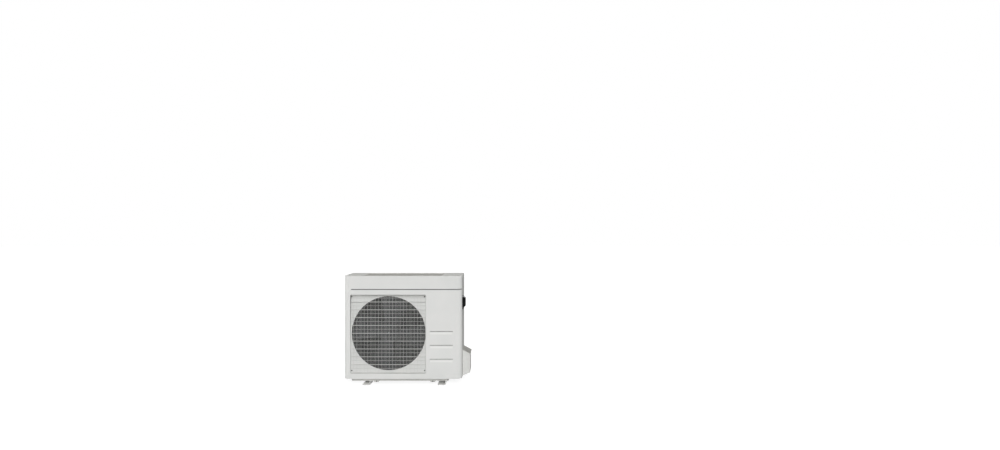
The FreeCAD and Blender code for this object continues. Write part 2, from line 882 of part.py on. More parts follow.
# Carrying handle: a hooded plastic grip on the right side, open below for the fingers.
def make_handle():
    made = body("right_handle", (x_right, y_front + s.handle_from_front, s.handle_bottom), UP)
    reach, tall, width = s.handle_reach, s.handle_height, s.handle_width
    thin = s.handle_wall
    low = tall * 0.2
    hood = [
        (0, 0), (reach * 0.4, 0), (reach * 0.4, low * 0.75), (reach, low * 1.2),
        (reach, tall - s.handle_reach * 0.65), (0, tall),
    ]
    hollow = [
        (reach * 0.3, -thin), (reach - thin, -thin), (reach - thin, tall - s.handle_reach),
        (thin, tall - s.handle_reach * 0.45), (thin, low * 1.5), (reach * 0.3, low * 1.3),
    ]
    pad(made, "XZ", 0, width, hood)
    pocket(made, "XZ", s.handle_wall, width - s.handle_wall, hollow)
    return keep("right_handle", made)


# Rear: a sheet behind the machine compartment and wire guards over the coil.
rear_left_edge = x_partition + s.partition_sheet + s.fit_gap * 10
y_rear_inner = y_back - s.panel_sheet


def make_rear_panel():
    made = body("rear_panel")
    t = s.panel_sheet
    x = (rear_left_edge, x_right - t)
    z = (rim_top, lid_seat - s.lid_skirt)
    pad(made, "XZ", y_rear_inner - t, y_rear_inner, rectangle(x, z))
    pad(made, "YZ", x[0], x[0] + t, rectangle((y_rear_inner - s.lid_skirt, y_rear_inner), z))
    rows = pocket(made, "XZ", y_rear_inner - t, y_rear_inner, slots=[
        (x[0] + 60, box_bottom - 90, s.gland_spacing * 1.3, s.screw_shank * 1.5)])
    repeat(made, rows, "V_Axis", s.gland_spacing / 3, 6)
    holes = [(x[1] - s.gland_spacing * (n + 1), s.gland_height, s.gland_radius - 3) for n in range(3)]
    holes += [(x_right - s.return_flange / 2, level, screw_hole) for level in rear_screw_z]
    pocket(made, "XZ", y_rear_inner - t, y_rear_inner, circles=holes)
    return keep("rear_panel", made)


def make_rear_guard():
    made = body("rear_coil_guard")
    wire = s.guard_wire
    x = (x_left + s.panel_sheet, rear_left_edge)
    z = (rim_top, lid_seat - s.lid_skirt)
    bars = (y_rear_inner - wire, y_rear_inner)
    wires = (y_rear_inner - wire * 2, y_rear_inner - wire)
    tall = (z[1] - z[0] - wire) / 12
    bar = pad(made, "XZ", bars[0], bars[1], rectangle(x, (z[0], z[0] + wire)))
    repeat(made, bar, "V_Axis", tall, 13)
    wide = (x[1] - x[0] - wire) / 20
    upright = pad(made, "XZ", wires[0], wires[1], rectangle((x[0], x[0] + wire), z))
    repeat(made, upright, "H_Axis", wide, 21)
    return keep("rear_coil_guard", made)


def make_side_guard():
    """Upright wires stand behind the bars and are welded to them where they cross."""
    wire = s.guard_wire
    wall = x_left + s.panel_sheet
    y = (y_front + s.window_from_front - s.window_lap, y_back - s.coil_from_left + s.guard_bar)
    z = (rim_top, lid_seat - 32)
    tall = (z[1] - z[0] - wire) / 12
    wide = (y[1] - y[0] - wire) / 7
    wires = []
    for number in range(13):
        low = z[0] + tall * number
        wires.append(strip("guard_bar", (wall, wall + wire), y, (low, low + wire)))
    for number in range(8):
        low = y[0] + wide * number
        wires.append(strip("guard_upright", (wall + wire, wall + wire * 2), (low, low + wire), z))
    return together("side_coil_guard", wires)


# Base pan: a tray with a turned-up rim and a lowered trough that drains at one point.


tab_screw_z = s.trough_bottom - s.tab_drop / 3


def make_base_pan():
    made = body("base_pan")
    t = s.pan_sheet
    inset = s.panel_sheet + s.fit_gap
    rear_round = s.recess_radius
    pad(made, "XY", pan_ledge, pan_ledge + t, plan(inset, rear_round))
    pad(made, "XY", pan_ledge, pan_ledge + s.pan_rim, plan(inset, rear_round), plan(inset + t, rear_round))
    pad(made, "XY", s.trough_bottom, pan_ledge, rectangle(trough_x, trough_y, s.trough_radius))
    inside = rectangle(
        (trough_x[0] + t, trough_x[1] - t), (trough_y[0] + t, trough_y[1] - t), s.trough_radius - t
    )
    pocket(made, "XY", pan_floor, pan_ledge + t, inside)
    for middle in (s.tab_left, s.tab_right):
        x = (middle - s.tab_radius, middle + s.tab_radius)
        z = (s.trough_bottom - s.tab_drop, s.trough_bottom + s.tab_drop)
        hole = [(middle, tab_screw_z, screw_hole)]
        slope = s.tab_drop
        lug = [
            (x[0] + slope, z[0]), (x[1] - slope, z[0]), (x[1], s.trough_bottom),
            (x[1], z[1]), (x[0], z[1]), (x[0], s.trough_bottom),
        ]
        pad(made, "XZ", trough_y[0] - t, trough_y[0], lug, circles=hole)
    holes = [(y, side_screw_z[0], screw_hole) for y in side_screw_y]
    pocket(made, "YZ", x_left, x_right, circles=holes)
    drain = (x_left + s.drain_from_left, 0, s.drain_bore)
    pocket(made, "XY", s.trough_bottom, pan_floor, circles=[drain])
    return keep("base_pan", made)


# Dark screws on the front: four hold the guard and two go through the tabs of the pan.
def make_front_screws():
    level = trough_y[0] - s.pan_sheet
    spots = guard_screw_spots() + [(x, level, tab_screw_z) for x in (s.tab_left, s.tab_right)]
    return together("front_screws", [screw("front_screw", spot, FRONT) for spot in spots])


def make_drain_spigot():
    bore, wall = s.drain_bore - s.drain_wall - s.drain_play, s.drain_wall
    spot = (x_left + s.drain_from_left, 0, pan_floor)
    outside, neck = bore + wall, s.drain_neck
    profile = [
        (bore, -wall), (bore + wall * 3, -wall), (bore + wall * 3, 0),
        (outside - s.drain_step, 0), (outside - s.drain_step, neck), (outside, neck),
        (outside, s.drain_length), (bore, s.drain_length),
    ]
    return keep("drain_spigot", turned("drain_spigot", spot, DOWN, profile))


# Feet: Z-shaped rails across the depth. The tongue on the ground carries the two slots.
def make_foot(name, side):
    made = body(name)
    middle = s.foot_spacing / 2 * side
    x = (middle - s.foot_width / 2, middle + s.foot_width / 2)
    y = (-s.foot_length / 2, s.foot_length / 2)
    rail = (-s.foot_rail_length / 2, s.foot_rail_length / 2)
    t = s.foot_sheet
    holes = [(middle, s.slot_spacing / 2 * end, s.slot_length, s.slot_half_width) for end in (-1, 1)]
    pad(made, "XY", 0, t, rectangle(x, y, s.foot_round), slots=holes)
    web = [
        (rail[0] - 12, 0), (rail[1] + 12, 0), (rail[1], s.trough_bottom), (rail[0], s.trough_bottom),
    ]
    pad(made, "YZ", x[1] - t, x[1], web)
    top = rectangle((x[1] - t, x[1] + s.foot_flange), rail)
    pad(made, "XY", s.trough_bottom - t, s.trough_bottom, top)
    return keep(name, made)


# Partition between the air side and the machine side.
def make_partition():
    made = body("partition_plate")
    t = s.partition_sheet
    y = (y_front + s.recess_depth + 10, trough_back)
    z = (pan_floor, lid_seat - s.lid_skirt - s.lid_field_drop - 4)
    pad(made, "YZ", x_partition, x_partition + t, rectangle(y, z))
    pad(made, "XY", pan_floor, pan_floor + t, rectangle((x_partition - 12, x_partition), y))
    pad(made, "XZ", y[0], y[0] + t, rectangle((x_partition - 12, x_partition + t), z))
    return keep("partition_plate", made)


# Coil: an L of fins round the rear and left side, with end plates and bends.
def bend_level(number):
    return coil_z[0] + 40 + bend_pitch * number


def make_coil():
    thick, bend = s.coil_thickness, s.coil_bend
    end = y_front + s.coil_front_end
    fins = body("coil_fins")
    pad(fins, "XY", coil_z[0], coil_z[1], [
        (coil_x[0], coil_y, bend), (coil_x[0], end), (coil_x[0] + thick, end),
        (coil_x[0] + thick, coil_y - thick, bend - thick), (coil_x[1], coil_y - thick), (coil_x[1], coil_y),
    ])
    keep("coil_fins", fins)
    plates = body("coil_end_plates")
    pad(plates, "YZ", coil_x[1], coil_x[1] + s.coil_plate,
        rectangle((coil_y - thick, coil_y), coil_z))
    pad(plates, "XZ", end - s.coil_plate, end, rectangle((coil_x[0], coil_x[0] + thick), coil_z))
    keep("coil_end_plates", plates)
    bends = []
    start = coil_x[1] + s.coil_plate
    for number in range(int(s.tube_rows.value)):
        level = bend_level(number)
        near, far = coil_y - thick * 0.75, coil_y - thick * 0.25
        reach = start + 16
        bends.append(pipe("return_bend", s.tube_radius, thick / 4.2, (start, near, level),
                          (reach, near, level), (reach, far, level), (start, far, level)))
    together("return_bends", bends)


# Refrigerant circuit
compressor_x = x_right - s.compressor_from_right
compressor_top = s.compressor_bottom + s.compressor_height
accumulator_x = x_right - s.accumulator_from_right
accumulator_top = s.accumulator_bottom + s.accumulator_height
plates_x = (x_right - s.plates_from_right, x_right - s.plates_from_right + s.plates_width)
plates_z = (s.plates_bottom, s.plates_bottom + s.plates_height)
valve_y = y_front + 139
valve_x = compressor_x + 25
valve_z = (plates_z[1] + box_bottom) / 2
gas_port = (plates_x[0] + 20, plates_z[1] - 25)
water_port = (plates_x[1] - 20, plates_z[1] - 25)
port_low = plates_z[0] + 18


def foot_spots():
    """The three compressor feet, at 60, 180 and 300 degrees."""
    ring = s.compressor_foot_circle
    return [
        (compressor_x + ring * round(math.cos(math.radians(a)), 6),
         s.compressor_depth + ring * round(math.sin(math.radians(a)), 6))
        for a in (60, 180, 300)
    ]


def make_compressor():
    radius, tall = s.compressor_radius, s.compressor_height
    spot = (compressor_x, s.compressor_depth, s.compressor_bottom)
    shell = turned("compressor", spot, UP, [
        (0, 0), (radius, 0, s.compressor_round), (radius, tall, s.compressor_round), (0, tall),
    ])
    feet = body("compressor_plate")
    plate_level = pan_floor + s.grommet_height
    ears = [(x, y, s.grommet_radius + 3) for x, y in foot_spots()]
    for x, y, ear in ears:
        pad(feet, "XY", plate_level, plate_level + 3, circles=[(x, y, ear)])
    pad(feet, "XY", plate_level, plate_level + 3, circles=[(compressor_x, s.compressor_depth, radius + 6)])
    for x, y, ear in ears:
        pocket(feet, "XY", plate_level, plate_level + 3, circles=[(x, y, s.screw_head)])
    collar = rod("compressor_collar", (compressor_x, s.compressor_depth, plate_level), UP, radius - 8, 20)
    keep("compressor", fused("compressor", shell, feet, collar))
    grommets, bolts = [], []
    bore = s.screw_head
    for x, y in foot_spots():
        r, h = s.grommet_radius, s.grommet_height
        grommets.append(turned("grommet", (x, y, pan_floor), UP, [
            (bore, 0), (r, 0), (r, h * 0.36), (r - 3, h * 0.5), (r, h * 0.64), (r, h), (bore, h),
        ]))
        head = rod("bolt_head", (x, y, plate_level + 3), UP, s.grommet_radius - 3, 6)
        shank = rod("bolt_shank", (x, y, plate_level + 3), DOWN, s.screw_head - s.fit_gap * 3, h + 3)
        bolts.append(fused("compressor_bolt", head, shank))
    together("compressor_grommets", grommets)
    together("compressor_bolts", bolts)
    cap = body("terminal_cover", (compressor_x + 12, s.compressor_depth - 18, compressor_top))
    pad(cap, "XY", 0, 26, rectangle((-22, 22), (-22, 22), 8))
    keep("terminal_cover", cap)
    r = s.accumulator_radius
    spot = (accumulator_x, s.accumulator_depth, s.accumulator_bottom)
    keep("accumulator", turned("accumulator", spot, UP, [
        (0, 0), (r, 0, r * 0.5), (r, s.accumulator_height, r * 0.5), (0, s.accumulator_height),
    ]))


def make_plates():
    made = body("plate_exchanger")
    y = (s.plates_front, s.plates_front + s.plates_thickness)
    end, round_corner = s.plates_end, s.plates_round
    pack = rectangle(
        (plates_x[0] + end, plates_x[1] - end), (plates_z[0] + end, plates_z[1] - end), round_corner - end
    )
    pad(made, "XZ", y[0] + end, y[1] - end, pack)
    for low, high in ((y[0], y[0] + end), (y[1] - end, y[1])):
        pad(made, "XZ", low, high, rectangle(plates_x, plates_z, round_corner))
    keep("plate_exchanger", made)
    stand = body("plate_stand")
    t = s.stand_sheet
    x = (plates_x[0] + s.plates_round / 3, plates_x[1] - s.plates_round / 3)
    pad(stand, "XY", pan_floor, pan_floor + t, rectangle(x, y))
    pad(stand, "XZ", y[0], y[0] + t, rectangle(x, (pan_floor, plates_z[0])))
    pad(stand, "XZ", y[1] - t, y[1], rectangle(x, (pan_floor, plates_z[0])))
    pad(stand, "XY", plates_z[0] - t, plates_z[0], rectangle(x, y))
    keep("plate_stand", stand)


def make_valves():
    spot = (valve_x - s.valve_length / 2, valve_y, valve_z)
    r = s.valve_radius
    keep("four_way_valve", turned("four_way_valve", spot, RIGHT, [
        (0, 0), (r, 0, r * 0.4), (r, s.valve_length, r * 0.4), (0, s.valve_length),
    ]))
    coil = body("four_way_coil", (valve_x, valve_y - r, valve_z), FRONT)
    pad(coil, "XY", 0, r * 1.6, rectangle((-r * 1.3, r * 1.3), (-r * 1.3, r * 1.3), 4))
    keep("four_way_coil", coil)
    spot = (plates_x[0] + 57, s.plates_front - 20, plates_z[1] + 20)
    keep("expansion_valve", turned("expansion_valve", spot, UP, [
        (0, 0), (r * 0.8, 0), (r * 0.8, r * 2.2), (r * 1.3, r * 2.2), (r * 1.3, r * 4.6, 4), (0, r * 4.6),
    ]))


def make_refrigerant_pipes():
    gas, liquid, bend = s.refrigerant_radius, s.liquid_radius, s.refrigerant_bend
    top, foot = valve_z + s.valve_radius, valve_z - s.valve_radius
    cx, cy, vx, vy = compressor_x, s.compressor_depth, valve_x, valve_y
    high = box_bottom - bend * 2
    discharge = pipe("discharge_pipe", gas, bend, (cx - 20, cy, compressor_top),
                     (cx - 20, cy, high), (cx - 20, vy, high), (cx - 20, vy, top))
    level = (compressor_top + foot) / 2
    suction = pipe("suction_pipe", gas, bend, (vx, vy, foot), (vx, vy, level),
                   (accumulator_x, s.accumulator_depth, level),
                   (accumulator_x, s.accumulator_depth, accumulator_top))
    low = s.accumulator_bottom - 22
    inlet = pipe("inlet_pipe", gas, bend, (accumulator_x, s.accumulator_depth, s.accumulator_bottom),
                 (accumulator_x, s.accumulator_depth, low),
                 (cx + s.compressor_radius + s.fit_gap, s.accumulator_depth, low))
    together("suction_pipes", [suction, inlet])
    x = vx - 25
    mid = foot - bend * 2
    hot = pipe("hot_gas_pipe", gas, bend, (x, vy, foot), (x, vy, mid), (gas_port[0], vy, mid),
               (gas_port[0], vy, gas_port[1]), (gas_port[0], s.plates_front, gas_port[1]))
    together("hot_gas_pipes", [discharge, hot])
    x = vx + 25
    header_x, header_y = x_partition + 42, coil_y - s.coil_thickness / 2
    near = foot - bend * 1.6
    keep("coil_gas_pipe", pipe("coil_gas_pipe", gas, bend, (x, vy, foot), (x, vy, near),
                               (x, header_y, near), (header_x + gas, header_y, near)))
    header = rod("coil_header", (header_x, header_y, coil_z[0] + 60), UP, gas, coil_z[1] - coil_z[0] - 120)
    stubs = [header]
    for number in range(6):
        level = bend_level(2 * number + 0.5)
        start = coil_x[1] + s.coil_plate
        spot = (start, header_y, level)
        stubs.append(rod("header_stub", spot, RIGHT, s.tube_radius * 0.8, header_x - start))
    keep("coil_header", fused("coil_header", *stubs))
    ex, ey, ez = plates_x[0] + 57, s.plates_front - 20, plates_z[1] + 20
    keep("liquid_pipe", pipe("liquid_pipe", liquid, bend * 0.6, (gas_port[0], s.plates_front, port_low),
                             (gas_port[0], ey, port_low), (ex, ey, port_low), (ex, ey, ez)))
    side = s.valve_radius * 0.8
    up = box_bottom - 60
    back = s.plates_front + s.plates_thickness + 8
    feed = pipe("distributor_pipe", liquid, bend * 0.6, (ex, ey + side, ez + 14), (ex, back, ez + 14),
                (ex, back, up))
    r = s.valve_radius
    cone = turned("distributor_cone", (ex, back, up), UP, [
        (0, 0), (r * 0.5, 0), (r, r), (r, r * 1.8), (0, r * 1.8),
    ])
    keep("distributor", fused("distributor", feed, cone))
    thin = []
    for number in range(4):
        x = ex - 9 + 6 * number
        level = bend_level(number + 8.5)
        thin.append(pipe("capillary", s.screw_shank * 0.9, bend * 0.6, (x, back, up + r * 1.8),
                         (x, back, level), (x, coil_y - 8, level),
                         (coil_x[1] + s.coil_plate, coil_y - 8, level)))
    together("capillary_tubes", thin)


# Water circuit
pump_x = x_right - s.pump_from_right
union_x = x_right + s.union_reach


def make_water_circuit():
    r, bend = s.water_radius, s.water_bend
    level = s.water_level
    half = s.pump_radius * 2 + 14
    pump_low, pump_high = s.pump_height - half, s.pump_height + half
    thread_top = s.union_bottom + s.union_thread
    keep("return_pipe", pipe("return_pipe", r, bend, (union_x, s.return_depth, thread_top),
                             (union_x, s.return_depth, level), (pump_x, s.return_depth, level),
                             (pump_x, s.return_depth, pump_low)))
    run = x_right - 26
    low = port_low
    flow_y = s.plates_front - 20
    keep("supply_pipe", pipe("supply_pipe", r, bend - 1, (union_x, s.supply_depth, thread_top),
                             (union_x, s.supply_depth, level), (run, s.supply_depth, level),
                             (run, flow_y, level), (run, flow_y, low), (water_port[0], flow_y, low),
                             (water_port[0], s.plates_front, low)))
    high = pump_high + 17
    front = s.plates_front - 30
    keep("pump_pipe", pipe("pump_pipe", r, bend - 1, (pump_x, s.return_depth, pump_high),
                           (pump_x, s.return_depth, high), (pump_x, front, high),
                           (water_port[0], front, high), (water_port[0], front, water_port[1]),
                           (water_port[0], s.plates_front, water_port[1])))
    unions = []
    for depth in (s.return_depth, s.supply_depth):
        u, b = s.union_radius, s.union_bore
        spot = (union_x, depth, s.union_bottom)
        unions.append(turned("water_union", spot, UP, [
            (b, 0), (u, 0), (u, s.union_thread), (u - 3, s.union_thread), (u - 3, s.union_thread + 2),
            (r + s.fit_gap, s.union_thread + 2), (r + s.fit_gap, s.union_thread), (b, s.union_thread),
        ]))
    together("water_unions", unions)
    pr = s.pump_radius
    pump = body("circulation_pump")
    pad(pump, "XZ", s.return_depth - 22, s.return_depth + 22, circles=[(pump_x, s.pump_height, pr + 4)])
    pad(pump, "XY", pump_low, pump_high, circles=[(pump_x, s.return_depth, r + 4)])
    for end in (pump_low, pump_high - 8):
        pad(pump, "XY", end, end + 8, circles=[(pump_x, s.return_depth, r + 9)])
    motor = turned("pump_motor", (pump_x, s.return_depth + 22, s.pump_height), BACK, [
        (0, 0), (pr, 0), (pr, 54, 8), (pr * 0.4, 54), (pr * 0.4, 58), (0, 58),
    ])
    together("circulation_pump", [pump, motor])
    x = pump_x - 26
    top = high + r
    keep("safety_valve", turned("safety_valve", (x, front, top), UP, [
        (0, 0), (12, 0), (12, 26), (15, 26), (15, 40), (0, 40),
    ]))
    knob = turned("safety_knob", (x, front, top + 40 + s.fit_gap), UP, [
        (0, 0), (17, 0), (17, 18, 4), (0, 18),
    ])
    groove = [
        (round(17.5 * math.cos(math.radians(45 * n)), 4), round(17.5 * math.sin(math.radians(45 * n)), 4), 3)
        for n in range(8)
    ]
    pocket(knob, "XY", 0, 18, circles=groove)
    keep("safety_knob", knob)
    keep("air_vent", turned("air_vent", (pump_x, (s.return_depth + front) / 2, top), UP, [
        (0, 0), (7, 0), (7, 12), (13, 12), (13, 46, 4), (4, 46), (4, 52), (0, 52),
    ]))
    switch = body("flow_switch", (x_right - 80, flow_y, low + r))
    pad(switch, "XY", 0, 10, circles=[(0, 0, 9)])
    pad(switch, "XY", 10, 36, rectangle((-17, 17), (-13, 13), 3))
    keep("flow_switch", switch)


# Connection cover: a moulded hood over the water unions, open below and towards the casing.
def make_valve_cover():
    made = body("connection_cover")
    y = (y_front + s.cover_from_front, y_front + s.cover_from_front + s.cover_width)
    inner, outer = x_right, x_right + s.cover_reach
    top, low, wall = s.cover_inner_top, s.cover_outer_bottom, s.cover_wall
    roof = top - s.cover_roof_drop
    shell = [(inner, s.cover_bottom), (outer, low), (outer, roof), (inner, top)]
    pad(made, "XZ", y[0], y[1], shell)
    eave = s.cover_eave
    edge = outer + eave
    lip = [(inner, top), (inner, top - wall * 1.6), (edge, roof - wall * 2), (edge, roof)]
    pad(made, "XZ", y[0] - eave, y[1] + eave, lip)
    hollow = [
        (inner - wall, s.cover_bottom - wall * 3), (outer - wall, low - wall * 3),
        (outer - wall, roof - wall), (inner - wall, top - wall + 2),
    ]
    pocket(made, "XZ", y[0] + wall, y[1] - wall, hollow)
    return keep("connection_cover", made)


# Electrical box high in the machine compartment, with its board, coil and terminals.
box_left = x_partition + s.partition_sheet + s.fit_gap
box_x = (box_left, box_left + s.box_width)
box_y = (s.box_front, s.box_front + s.box_depth)
box_z = (box_bottom, box_bottom + s.box_height)


def make_electrical_box():
    t = s.box_sheet
    made = body("electrical_box")
    pad(made, "XZ", box_y[0], box_y[1], rectangle(box_x, box_z))
    room = rectangle((box_x[0] + t, box_x[1] - t), (box_z[0] + t, box_z[1] - t))
    pocket(made, "XZ", box_y[0], box_y[1] - t, room)
    keep("electrical_box", made)
    cover = body("electrical_box_lid")
    pad(cover, "XZ", box_y[0] - t, box_y[0], rectangle(box_x, box_z, 6))
    keep("electrical_box_lid", cover)
    board = body("inverter_board")
    back = box_y[1] - t
    x = (box_x[0] + 14, box_x[1] - 14)
    z = (box_z[0] + 60, box_z[1] - 14)
    pad(board, "XZ", back - 12, back - 10, rectangle(x, z))
    posts = [(a, b, 3) for a in (x[0] + 8, x[1] - 8) for b in (z[0] + 8, z[1] - 8)]
    pad(board, "XZ", back - 10, back, circles=posts)
    cans = [(x[0] + 40 + 30 * n, z[1] - 36, 12.5) for n in range(4)]
    pad(board, "XZ", back - 52, back - 12, circles=cans)
    pad(board, "XZ", back - 30, back - 12, rectangle((x[0] + 20, x[0] + 90), (z[0] + 14, z[0] + 54)))
    pad(board, "XZ", back - 26, back - 12, rectangle((x[1] - 84, x[1] - 20), (z[0] + 16, z[0] + 46)))
    keep("inverter_board", board)
    sink = body("heat_sink")
    y = (box_y[0] + 20, box_y[0] + 120)
    z = (box_z[0] + 30, box_z[0] + 170)
    pad(sink, "YZ", x_partition - 6, x_partition, rectangle(y, z))
    fin = pad(sink, "YZ", x_partition - 34, x_partition - 6, rectangle((y[0], y[0] + 2), z))
    repeat(sink, fin, "H_Axis", (y[1] - y[0] - 2) / 12, 13)
    keep("heat_sink", sink)
    coil = body("reactor")
    wall = x_partition + s.partition_sheet
    y = (s.box_front, s.box_front + 56)
    z = (box_z[0] - 110, box_z[0] - 50)
    pad(coil, "YZ", wall, wall + 4, rectangle((y[0], y[1]), (z[0] - 8, z[1] + 8)))
    pad(coil, "YZ", wall + 4, wall + 40, rectangle(y, z, 3))
    pad(coil, "YZ", wall + 40, wall + 52, rectangle((y[0] + 8, y[1] - 8), (z[0] + 12, z[1] - 12), 8))
    keep("reactor", coil)
    terminals = body("terminal_block")
    x = (box_x[0] + 30, box_x[1] - 40)
    pad(terminals, "XZ", back - 24, back, rectangle(x, (box_z[0] + 14, box_z[0] + 20)))
    pad(terminals, "XZ", back - 16, back, rectangle(x, (box_z[0] + 20, box_z[0] + 44)))
    pad(terminals, "XZ", back - 24, back, rectangle(x, (box_z[0] + 44, box_z[0] + 50)))
    keep("terminal_block", terminals)
    glands = []
    for number in range(3):
        x = x_right - s.panel_sheet - s.gland_spacing * (number + 1)
        r, b = s.gland_radius, s.gland_bore
        glands.append(turned("cable_gland", (x, y_rear_inner, s.gland_height), BACK, [
            (b, -16), (r - 3.3, -16), (r - 3.3, 0), (r, 0), (r, 8),
            (r - 2, 14), (b, 14),
        ]))
    together("cable_glands", glands)


# Casing screws: four in each side panel and two in each rear flange.
def make_casing_screws():
    sides = [(wall, y, z) for wall in (x_right, x_left) for y in side_screw_y for z in side_screw_z]
    made = [screw("side_screw", spot, RIGHT if spot[0] is x_right else LEFT) for spot in sides]
    for x in (x_right - s.return_flange / 2, x_left + s.return_flange / 2):
        made += [screw("rear_screw", (x, y_back, z), BACK) for z in rear_screw_z]
    together("casing_screws", made)


make_front_panel()
make_fan_guard()
make_bell_mouth()
make_fan()
make_fan_drive()
make_motor_bracket()
make_top_cover()
make_side_panel("right_side_panel", 1)
make_side_panel("left_side_panel", -1)
make_handle()
make_rear_panel()
make_rear_guard()
make_side_guard()
make_base_pan()
make_front_screws()
make_drain_spigot()
make_foot("left_foot", -1)
make_foot("right_foot", 1)
make_partition()
make_coil()
make_compressor()
make_plates()
make_valves()
make_refrigerant_pipes()
make_water_circuit()
make_valve_cover()
make_electrical_box()
make_casing_screws()
doc.recompute()

faults = [f"{item.Name}: {item.State}" for item in doc.Objects if {"Invalid", "Error"} & set(item.State)]
for name, item in nodes.items():
    if item.Shape.isNull() or not item.Shape.isValid() or item.Shape.Volume <= 0:
        faults.append(f"{name} has no valid shape")
for item in doc.Objects:
    if not faults and item.TypeId == "PartDesign::Pocket":
        if item.Shape.Volume >= item.BaseFeature.Shape.Volume:
            faults.append(f"{item.Name} cuts nothing")
if faults:
    raise RuntimeError("\n".join(faults))

os.makedirs("parts", exist_ok=True)
for name, item in nodes.items():
    item.Shape.exportStep(f"parts/{name}.step")
print(len(nodes), "pieces,", sum(len(item.Shape.Solids) for item in nodes.values()), "solids")
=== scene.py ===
import math

import bmesh
import bpy
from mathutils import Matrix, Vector


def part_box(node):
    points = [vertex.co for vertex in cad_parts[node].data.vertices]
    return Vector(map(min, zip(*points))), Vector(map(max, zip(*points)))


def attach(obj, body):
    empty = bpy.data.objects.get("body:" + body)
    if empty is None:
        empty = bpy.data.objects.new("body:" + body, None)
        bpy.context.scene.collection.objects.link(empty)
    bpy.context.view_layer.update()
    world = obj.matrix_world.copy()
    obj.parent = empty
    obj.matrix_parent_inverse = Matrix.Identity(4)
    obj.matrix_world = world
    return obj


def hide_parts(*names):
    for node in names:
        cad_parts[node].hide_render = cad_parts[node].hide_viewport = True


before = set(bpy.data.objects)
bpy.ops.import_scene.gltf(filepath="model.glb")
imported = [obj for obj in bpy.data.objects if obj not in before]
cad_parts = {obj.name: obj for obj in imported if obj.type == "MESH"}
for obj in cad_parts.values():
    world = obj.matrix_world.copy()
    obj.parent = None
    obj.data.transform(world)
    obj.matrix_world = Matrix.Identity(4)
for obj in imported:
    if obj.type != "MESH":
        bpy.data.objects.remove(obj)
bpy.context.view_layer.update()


# Base pan and feet. Zinc-coated steel sheet, pressed into a tray with a lowered trough and bent
# into Z-shaped rails, then powder coated. The feet are screwed to the trough from below.
def linear(colour):
    """A hex sRGB colour as linear light."""
    parts = [int(colour[n:n + 2], 16) / 255 for n in (1, 3, 5)]
    return [c / 12.92 if c <= 0.04045 else ((c + 0.055) / 1.055) ** 2.4 for c in parts] + [1]


def grey(level):
    """A grey that is already linear, also used for plain shares from 0 to 1."""
    return (level, level, level, 1)


def add(tree, kind, sockets=None, **settings):
    """Adds one node. Each socket gets a value, or the output that feeds it."""
    made = tree.nodes.new(kind)
    for name, value in settings.items():
        setattr(made, name, value)
    for name, value in (sockets or {}).items():
        if isinstance(value, bpy.types.NodeSocket):
            tree.links.new(value, made.inputs[name])
        else:
            made.inputs[name].default_value = value
    return made


def new_finish(name, **values):
    """A material with its plain values on the shader's own sockets."""
    made = bpy.data.materials.new(name)
    made.use_nodes = True
    shader = made.node_tree.nodes["Principled BSDF"]
    for socket, value in values.items():
        shader.inputs[socket.replace("_", " ")].default_value = value
    return made, made.node_tree, shader


def mottle(tree, size, low, high, detail=3.0, stretch=(1, 1, 1)):
    """Soft patches of a size in millimetres, spread between two colours."""
    spot = add(tree, "ShaderNodeTexCoord").outputs["Object"]
    turned = add(tree, "ShaderNodeMapping", {"Vector": spot, "Scale": stretch})
    cloud = add(tree, "ShaderNodeTexNoise", {
        "Vector": turned.outputs["Vector"], "Scale": 1000 / size, "Detail": detail,
    })
    ramp = add(tree, "ShaderNodeValToRGB", {"Fac": cloud.outputs["Fac"]})
    dark_end, light_end = ramp.color_ramp.elements
    dark_end.position, light_end.position = 0.32, 0.68
    dark_end.color, light_end.color = low, high
    return ramp.outputs["Color"]


def relief(tree, shader, size, height, detail=2.0, stretch=(1, 1, 1)):
    """A bump of soft grains, with their size and height in millimetres."""
    grain = mottle(tree, size, grey(0), grey(1), detail, stretch)
    bump = add(tree, "ShaderNodeBump", {
        "Height": grain, "Strength": 1.0, "Distance": height / 1000,
    })
    tree.links.new(bump.outputs["Normal"], shader.inputs["Normal"])


# A Mix node for colours takes them on its inputs 6 and 7 and gives the result on its output 2.
def dusted(tree, clean, dust, top, most):
    """Settled dust, thickest at the ground and gone at a height in metres."""
    spot = add(tree, "ShaderNodeTexCoord").outputs["Object"]
    level = add(tree, "ShaderNodeSeparateXYZ", {"Vector": spot}).outputs["Z"]
    low = add(tree, "ShaderNodeMapRange", {
        "Value": level, "From Min": top, "From Max": 0.0, "To Max": most,
    })
    specks = mottle(tree, 6, grey(0.1), grey(1.0), 6.0)
    share = add(tree, "ShaderNodeMath", {0: low.outputs["Result"], 1: specks}, operation="MULTIPLY")
    mixed = add(tree, "ShaderNodeMix", {
        "Factor": share.outputs[0], 6: clean, 7: dust,
    }, data_type="RGBA")
    return mixed.outputs[2]


# Polyester powder, sprayed on dry and baked, gives an even satin. Its waviness, 1.6 mm across,
# breaks up the highlights, and broad faint patches keep a large sheet from looking flat.
def powder_coat(name, colour, shade, dust, rough=0.5, most=0.12, shine=0.06):
    made, tree, shader = new_finish(name, IOR=1.5, Specular_IOR_Level=shine)
    splashed_up_to = 0.16
    body = mottle(tree, 180, linear(colour), linear(shade))
    soiled = dusted(tree, body, linear(dust), splashed_up_to, most)
    gloss = mottle(tree, 50, grey(rough - 0.06), grey(rough + 0.06))
    tree.links.new(soiled, shader.inputs["Base Color"])
    tree.links.new(gloss, shader.inputs["Roughness"])
    relief(tree, shader, 1.6, 0.03)
    return made


def merged_copy(node):
    """A CAD part's mesh, with its loose triangles joined at their corners."""
    mesh = bmesh.new()
    mesh.from_mesh(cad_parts[node].data)
    bmesh.ops.remove_doubles(mesh, verts=mesh.verts, dist=2e-5)
    return mesh


